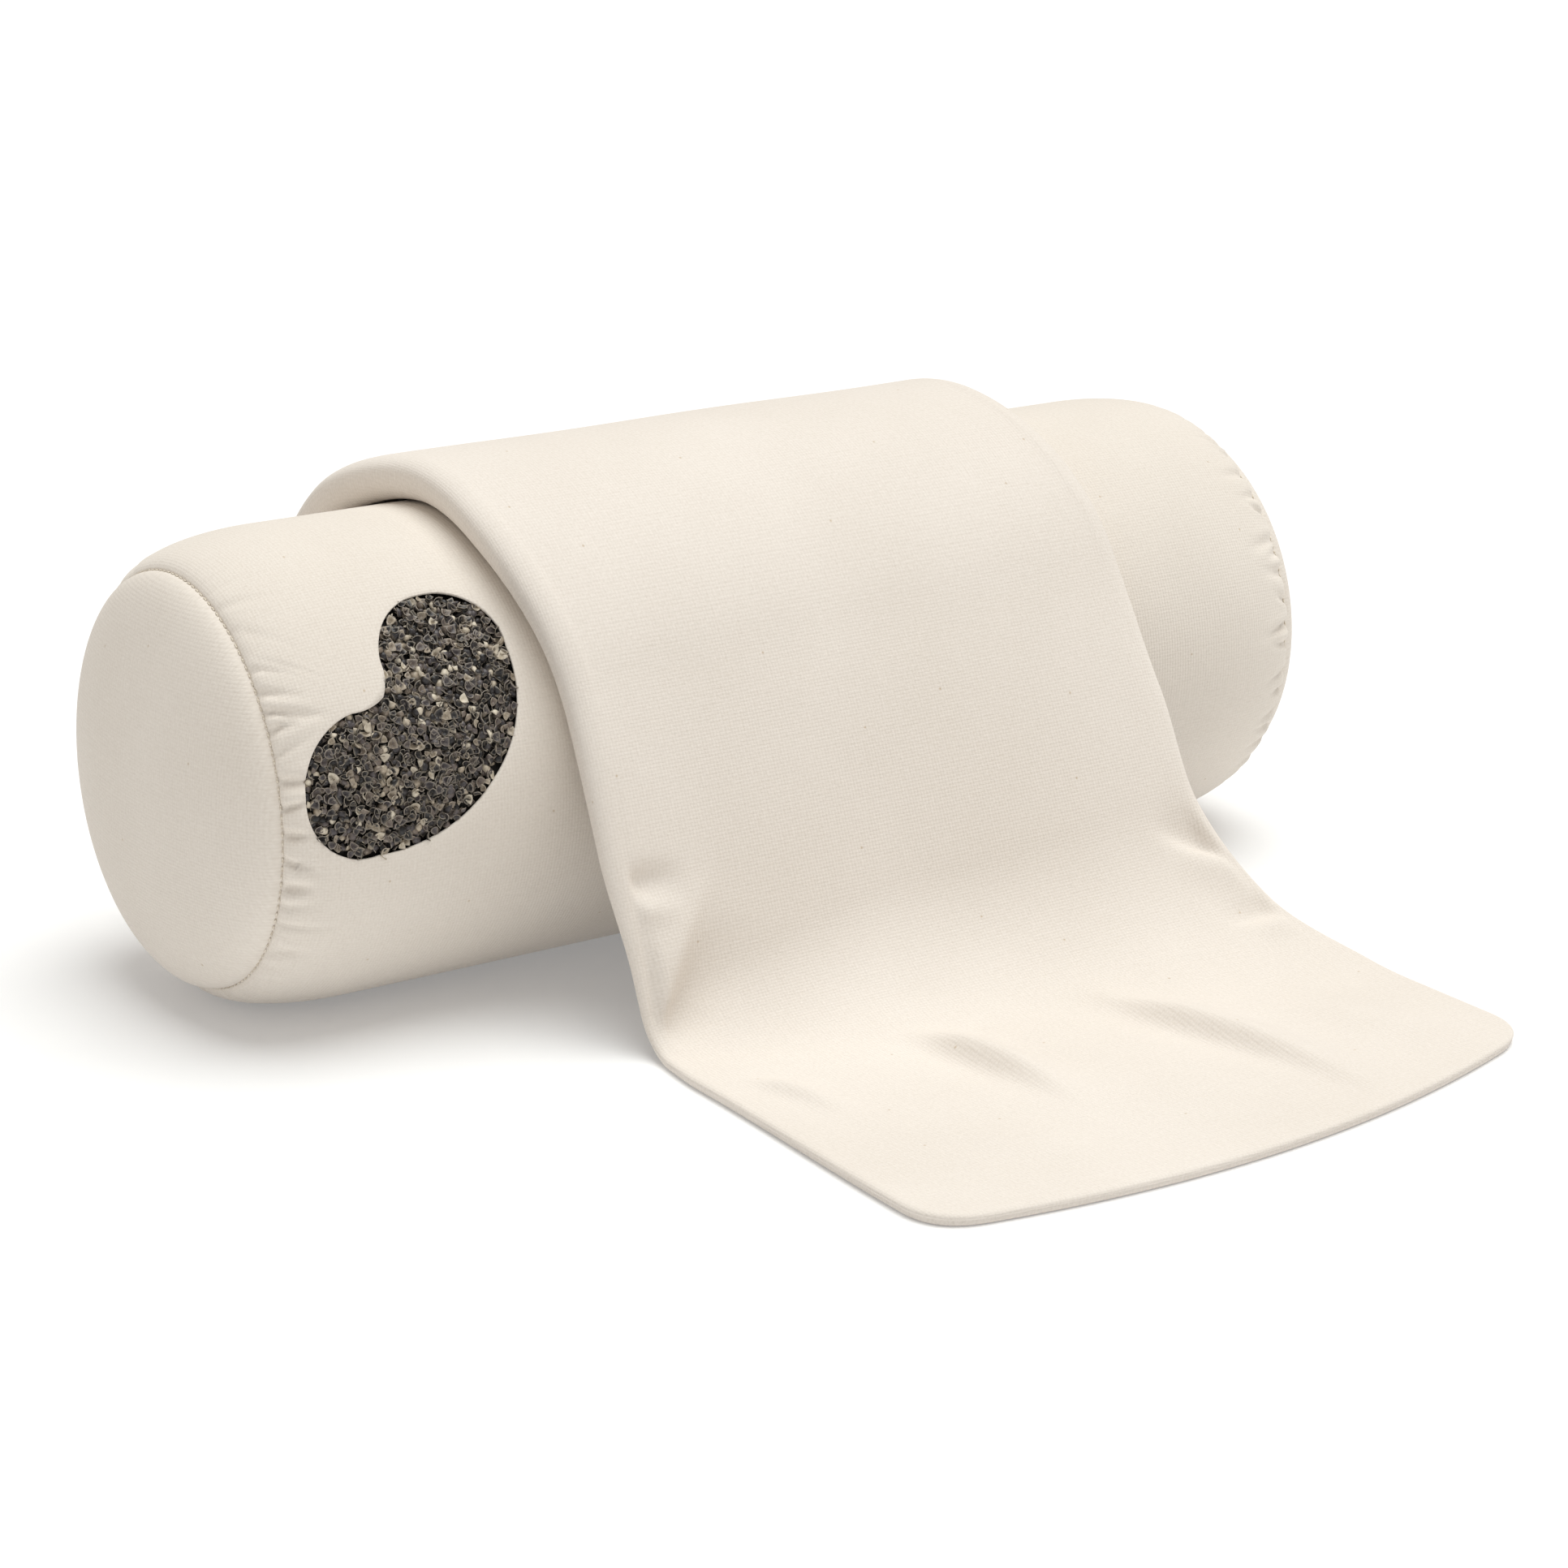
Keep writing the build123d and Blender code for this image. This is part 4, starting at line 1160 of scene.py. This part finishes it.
def make_cover_layers():
    """The empty bag: its upper layer rolls over all its edges and meets the lower layer underneath."""
    ring, outward, radius, long_count, wide_count = cover_rings()
    inset = ring - outward * radius[:, None]
    flat = inside_grid(inset, long_count, wide_count)
    x, v = flat[..., 0], flat[..., 1]
    share = edge_share(long_count, wide_count)
    relief = cover_relief(x, v) * share
    zip_across = (v / DRAPE_RADIUS - COVER_ZIP["angle"]) * COVER_ZIP["radius"]
    beside_zip = 1 - smooth(8 * MM, 16 * MM, np.abs(zip_across))     # the zip keeps the cloth flat
    opening = slot_share(x, zip_across, COVER_ZIP)
    relief = relief * (1 - beside_zip) - SLOT_DEPTH * opening
    top = cover_point(x, v, cover_thickness(v) + relief)
    cut = whole_cells(opening > UNDER_CLOTH)
    top_quads = grid_quads(long_count, wide_count, flipped=True)[~cut.ravel()]
    rolled, strip_cloth = rolled_edge(ring, outward, radius, inset)
    strip_quads = grid_quads(len(rolled), len(ring), closed=True, flipped=True, first=x.size)
    upper = make_piece("cover_upper_canvas", np.concatenate([top.reshape(-1, 3), rolled.reshape(-1, 3)]),
                       np.concatenate([top_quads, strip_quads]), COVER_CANVAS, "cover",
                       cloth=np.concatenate([flat.reshape(-1, 2), strip_cloth.reshape(-1, 2)]),
                       replaced=("cover_upper_layer",))

    lift = np.minimum(LAYER_GAP + 0.2 * np.maximum(cover_relief(x, v), 0) * share, LAYER_GAP_MOST)
    low = cover_point(x, v, lift * share)
    lower = make_piece("cover_lower_canvas", low.reshape(-1, 3), grid_quads(long_count, wide_count),
                       COVER_CANVAS, "cover", cloth=flat.reshape(-1, 2),
                       replaced=("cover_lower_layer",))


# ---------------------------------------------------------------- zips and label

def ring_point(place, x, across, out):
    """A place beside a zip's middle line: across is the length round the roll, downwards at the back."""
    angle = place["angle"] - across / place["radius"]
    far = place["radius"] + out
    x, angle, far = np.broadcast_arrays(x, angle, far)
    return np.stack([x, -far * np.sin(angle), AXIS_HEIGHT + far * np.cos(angle)], axis=-1)


def make_tape(prefix, half, side, place, body):
    """One zip tape: a flat rectangle with a low ridge beside the chain, carried along x and closed."""
    inner, outer, low, high = 0.3 * MM, 13.8 * MM, -1.9 * MM, -1.25 * MM
    face = np.linspace(inner, outer, 24)             # places across its upper face
    columns = 2 * len(face)
    across = np.concatenate([face, np.linspace(outer, inner, len(face))])
    ridge = 0.18 * MM * np.exp(-((face - 2.9 * MM) / (0.5 * MM)) ** 2)
    out = np.concatenate([high + ridge, np.full(len(face), low)])
    x = np.linspace(place["start"] - 6 * MM, place["end"] + 6 * MM, 120)
    rows = ring_point(place, x[:, None], side * across[None], out[None])
    caps = np.stack([rows[0].mean(axis=0), rows[-1].mean(axis=0)])
    cloth = np.stack(np.broadcast_arrays(x[:, None], side * across[None]), axis=-1).reshape(-1, 2)
    cloth = np.concatenate([cloth, [[x[0], 0], [x[-1], 0]]])
    quads, fans = tube_faces(len(x), columns, flipped=side > 0)
    make_piece(f"{prefix}_{half}_tape_cloth", np.concatenate([rows.reshape(-1, 3), caps]), quads, TAPE, body,
               cloth=cloth, triangles=fans, replaced=(f"{prefix}_{half}_tape",))


def make_coil(prefix, half, side, place, body):
    """One half of the chain: a monofilament wound as a flattened helix, with round section.

    Round each turn the filament runs out over the middle line, where it locks with the other half,
    down, and back to the tape. The two halves are half a turn apart.
    """
    pitch, wire = 1.27 * MM, 0.26 * MM               # length of one turn, and the filament's radius
    steps, sides = 10, 6                             # points in a turn and round the filament
    turns = int((place["end"] - place["start"]) / pitch)
    phase = np.arange(turns * steps + 1) / steps
    shift = 0.5 if side > 0 else 0.0
    run = place["end"] - place["start"] - 2 * wire
    x = place["start"] + wire + (phase + shift) / (turns + 0.5) * run
    across = (0.95 - 1.0 * np.cos(TURN * phase)) * MM
    out = (-0.4 + 0.5 * np.sin(TURN * phase)) * MM
    line = ring_point(place, x, side * across, out)
    ahead = np.gradient(line, axis=0)
    ahead /= np.linalg.norm(ahead, axis=1)[:, None]
    first = np.cross(ahead, np.array([1.0, 0, 0]))
    first /= np.linalg.norm(first, axis=1)[:, None]
    second = np.cross(ahead, first)
    around = np.arange(sides) * TURN / sides
    points = (line[:, None] + wire * (first[:, None] * np.cos(around)[None, :, None]
                                      + second[:, None] * np.sin(around)[None, :, None]))
    quads, fans = tube_faces(len(line), sides)
    make_piece(f"{prefix}_{half}_coil_teeth", np.concatenate([points.reshape(-1, 3), line[[0, -1]]]), quads,
               COIL, body, triangles=fans, replaced=(f"{prefix}_{half}_coil",), weld=False)


def make_zip(prefix, place, body, surface):
    """Both tapes, both halves of the chain and the topstitching of one zip; its other parts stay."""
    for half, side in (("upper", -1), ("lower", 1)):
        make_tape(prefix, half, side, place, body)
        make_coil(prefix, half, side, place, body)
    middles, along, outward = topstitch_rows(place, surface)
    points, quads = capsule_row(middles, along, outward, length=2.3 * MM, radius=0.28 * MM)
    make_piece(f"{prefix}_topstitching", points, quads, THREAD, body)


def make_label():
    """The care label: a blank folded strip that lies on the back of the roll and lifts at its free edge.

    It lifts with the cube of the share of its length, and waves along its free edge as a sine.
    """
    low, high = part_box("care_label")
    rows_along, rows_down = 30, 26
    x = np.linspace(low.x, high.x, rows_along)[:, None]
    drop, thickness = 20 * MM, 0.42 * MM
    sewn = 0.04                                      # share of its length that the seam holds
    share = np.concatenate([np.linspace(sewn, 1, rows_down), np.linspace(1, sewn, rows_down)])[None]
    face = np.repeat([1.0, 0.0], rows_down)[None]    # its upper face, and then its under one
    lifted = 1.3 * MM * share ** 3 + 0.35 * MM * np.sin((x - low.x) * 240) * share ** 2
    out = 0.1 * MM + lifted + thickness * face
    rows = ring_point(CASING_ZIP, x, share * drop, out)
    caps = np.stack([rows[0].mean(axis=0), rows[-1].mean(axis=0)])
    cloth = np.stack(np.broadcast_arrays(x, share * drop), axis=-1).reshape(-1, 2)
    cloth = np.concatenate([cloth, [[low.x, 0], [high.x, 0]]])
    quads, fans = tube_faces(rows_along, 2 * rows_down, flipped=True)
    piece = make_piece("care_label_strip", np.concatenate([rows.reshape(-1, 3), caps]), quads, LABEL, "roll",
                       cloth=cloth, triangles=fans, replaced=("care_label",))


def use_material(node_name, material):
    """Puts a material on a carried-over CAD node."""
    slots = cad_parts[node_name].material_slots
    for slot in slots:
        slot.material = material
    if not slots:
        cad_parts[node_name].data.materials.append(material)


def finish_carried_parts():
    """Gives the sliders, pull tabs and stops, which keep their CAD shape, their material."""
    for prefix in ("casing_zip", "cover_zip"):
        for part in ("slider", "pull_tab"):
            use_material(f"{prefix}_{part}", ZINC)
        for part in ("closed_end_stop", "open_end_stop"):
            use_material(f"{prefix}_{part}", COIL)


# ---------------------------------------------------------------- floor, light and camera

FLOOR_HALF_WIDTH = 9.0               # in metres, so that it reaches the horizon
FLOOR_DROP = 0.02 * MM               # just under the object, which stands at 0
WALL_LIGHT = (0.39, 0.372, 0.352, 1.0)           # what the studio's walls give the object, a little warm
WALL_COLOUR = (1.0, 1.0, 1.0, 1.0)               # and how they look behind it
LAMP_STRENGTH = 2.5
LAMP_COLOUR = (0.985, 1.0, 0.985)
LAMP_WIDTH = math.radians(52)        # a wide lamp, for soft shadows
LAMP_FROM = (0.18, -0.05, 1.0)       # the direction that it shines from
CAMERA_AZIMUTH = math.radians(-33.93)            # from straight in front, to the left
CAMERA_ELEVATION = math.radians(17.45)
CAMERA_DISTANCE = 1.4605
CAMERA_TARGET = (29.7 * MM, 0, 33.0 * MM)
CAMERA_LENS, CAMERA_SENSOR = 99.62, 36.0         # in mm


def make_floor():
    """A wide board under the object."""
    lines = 9
    line = np.linspace(-FLOOR_HALF_WIDTH, FLOOR_HALF_WIDTH, lines)
    x, y = np.meshgrid(line, line, indexing="ij")
    points = np.stack([x, y, np.full(x.shape, -FLOOR_DROP)], axis=-1).reshape(-1, 3)
    mesh = bpy.data.meshes.new("floor")
    mesh.from_pydata(points.tolist(), [], grid_quads(lines, lines, flipped=True).tolist())
    mesh.materials.append(FLOOR)
    board = bpy.data.objects.new("floor", mesh)
    bpy.context.scene.collection.objects.link(board)


def make_light():
    """Plain soft studio light: white walls, and a wide even lamp above and a little to the right."""
    world = bpy.data.worlds.new("white_studio")
    world.use_nodes = True
    tree = world.node_tree
    seen = add(tree, "LightPath")["Is Camera Ray"]
    colour = add(tree, "Mix", seen, named={MIX_FIRST: WALL_LIGHT, MIX_SECOND: WALL_COLOUR},
                 data_type="RGBA")[MIX_RESULT]
    tree.links.new(colour, tree.nodes["Background"].inputs["Color"])
    bpy.context.scene.world = world
    data = bpy.data.lights.new("overhead_softbox", "SUN")
    data.energy, data.color, data.angle = LAMP_STRENGTH, LAMP_COLOUR, LAMP_WIDTH
    light = bpy.data.objects.new("overhead_softbox", data)
    light.rotation_euler = Vector(LAMP_FROM).to_track_quat("Z", "Y").to_euler()
    bpy.context.scene.collection.objects.link(light)


def make_camera():
    """The camera, on a line from the object given by its azimuth and elevation."""
    level = math.cos(CAMERA_ELEVATION)
    back = Vector((math.sin(CAMERA_AZIMUTH) * level, -math.cos(CAMERA_AZIMUTH) * level,
                   math.sin(CAMERA_ELEVATION)))
    data = bpy.data.cameras.new("camera")
    data.sensor_width, data.lens = CAMERA_SENSOR, CAMERA_LENS
    data.clip_start, data.clip_end = 0.05, 60.0
    camera = bpy.data.objects.new("camera", data)
    camera.location = Vector(CAMERA_TARGET) + back * CAMERA_DISTANCE
    camera.rotation_euler = back.to_track_quat("Z", "Y").to_euler()
    bpy.context.scene.collection.objects.link(camera)
    bpy.context.scene.camera = camera


def on_casing(x, angle):
    """The casing's face, for the topstitching beside its zip."""
    return roll_point(x, angle, roll_relief(x, angle) + 0.1 * MM)


def on_cover(x, angle):
    """The cover's face beside its zip, where the bag lies on the roll."""
    return cover_point(x, angle * DRAPE_RADIUS, cover_thickness(angle * DRAPE_RADIUS) + 0.1 * MM)


make_camera()
make_light()
make_floor()
make_side_panel()
make_end_panel(-1, "left_end_canvas", "casing_left_end_panel", LEFT_PLEATS)
make_end_panel(1, "right_end_canvas", "casing_right_end_panel", RIGHT_PLEATS)
make_end_stitches(-1, "left_seam_stitches", "casing_left_seam_stitching")
make_end_stitches(1, "right_seam_stitches", "casing_right_seam_stitching")
make_long_stitches()
make_window_hulls()
make_hull_core()
make_cover_layers()
make_zip("casing_zip", CASING_ZIP, "roll", on_casing)
make_zip("cover_zip", COVER_ZIP, "cover", on_cover)
make_label()
finish_carried_parts()
bpy.context.scene.view_settings.view_transform = "Standard"
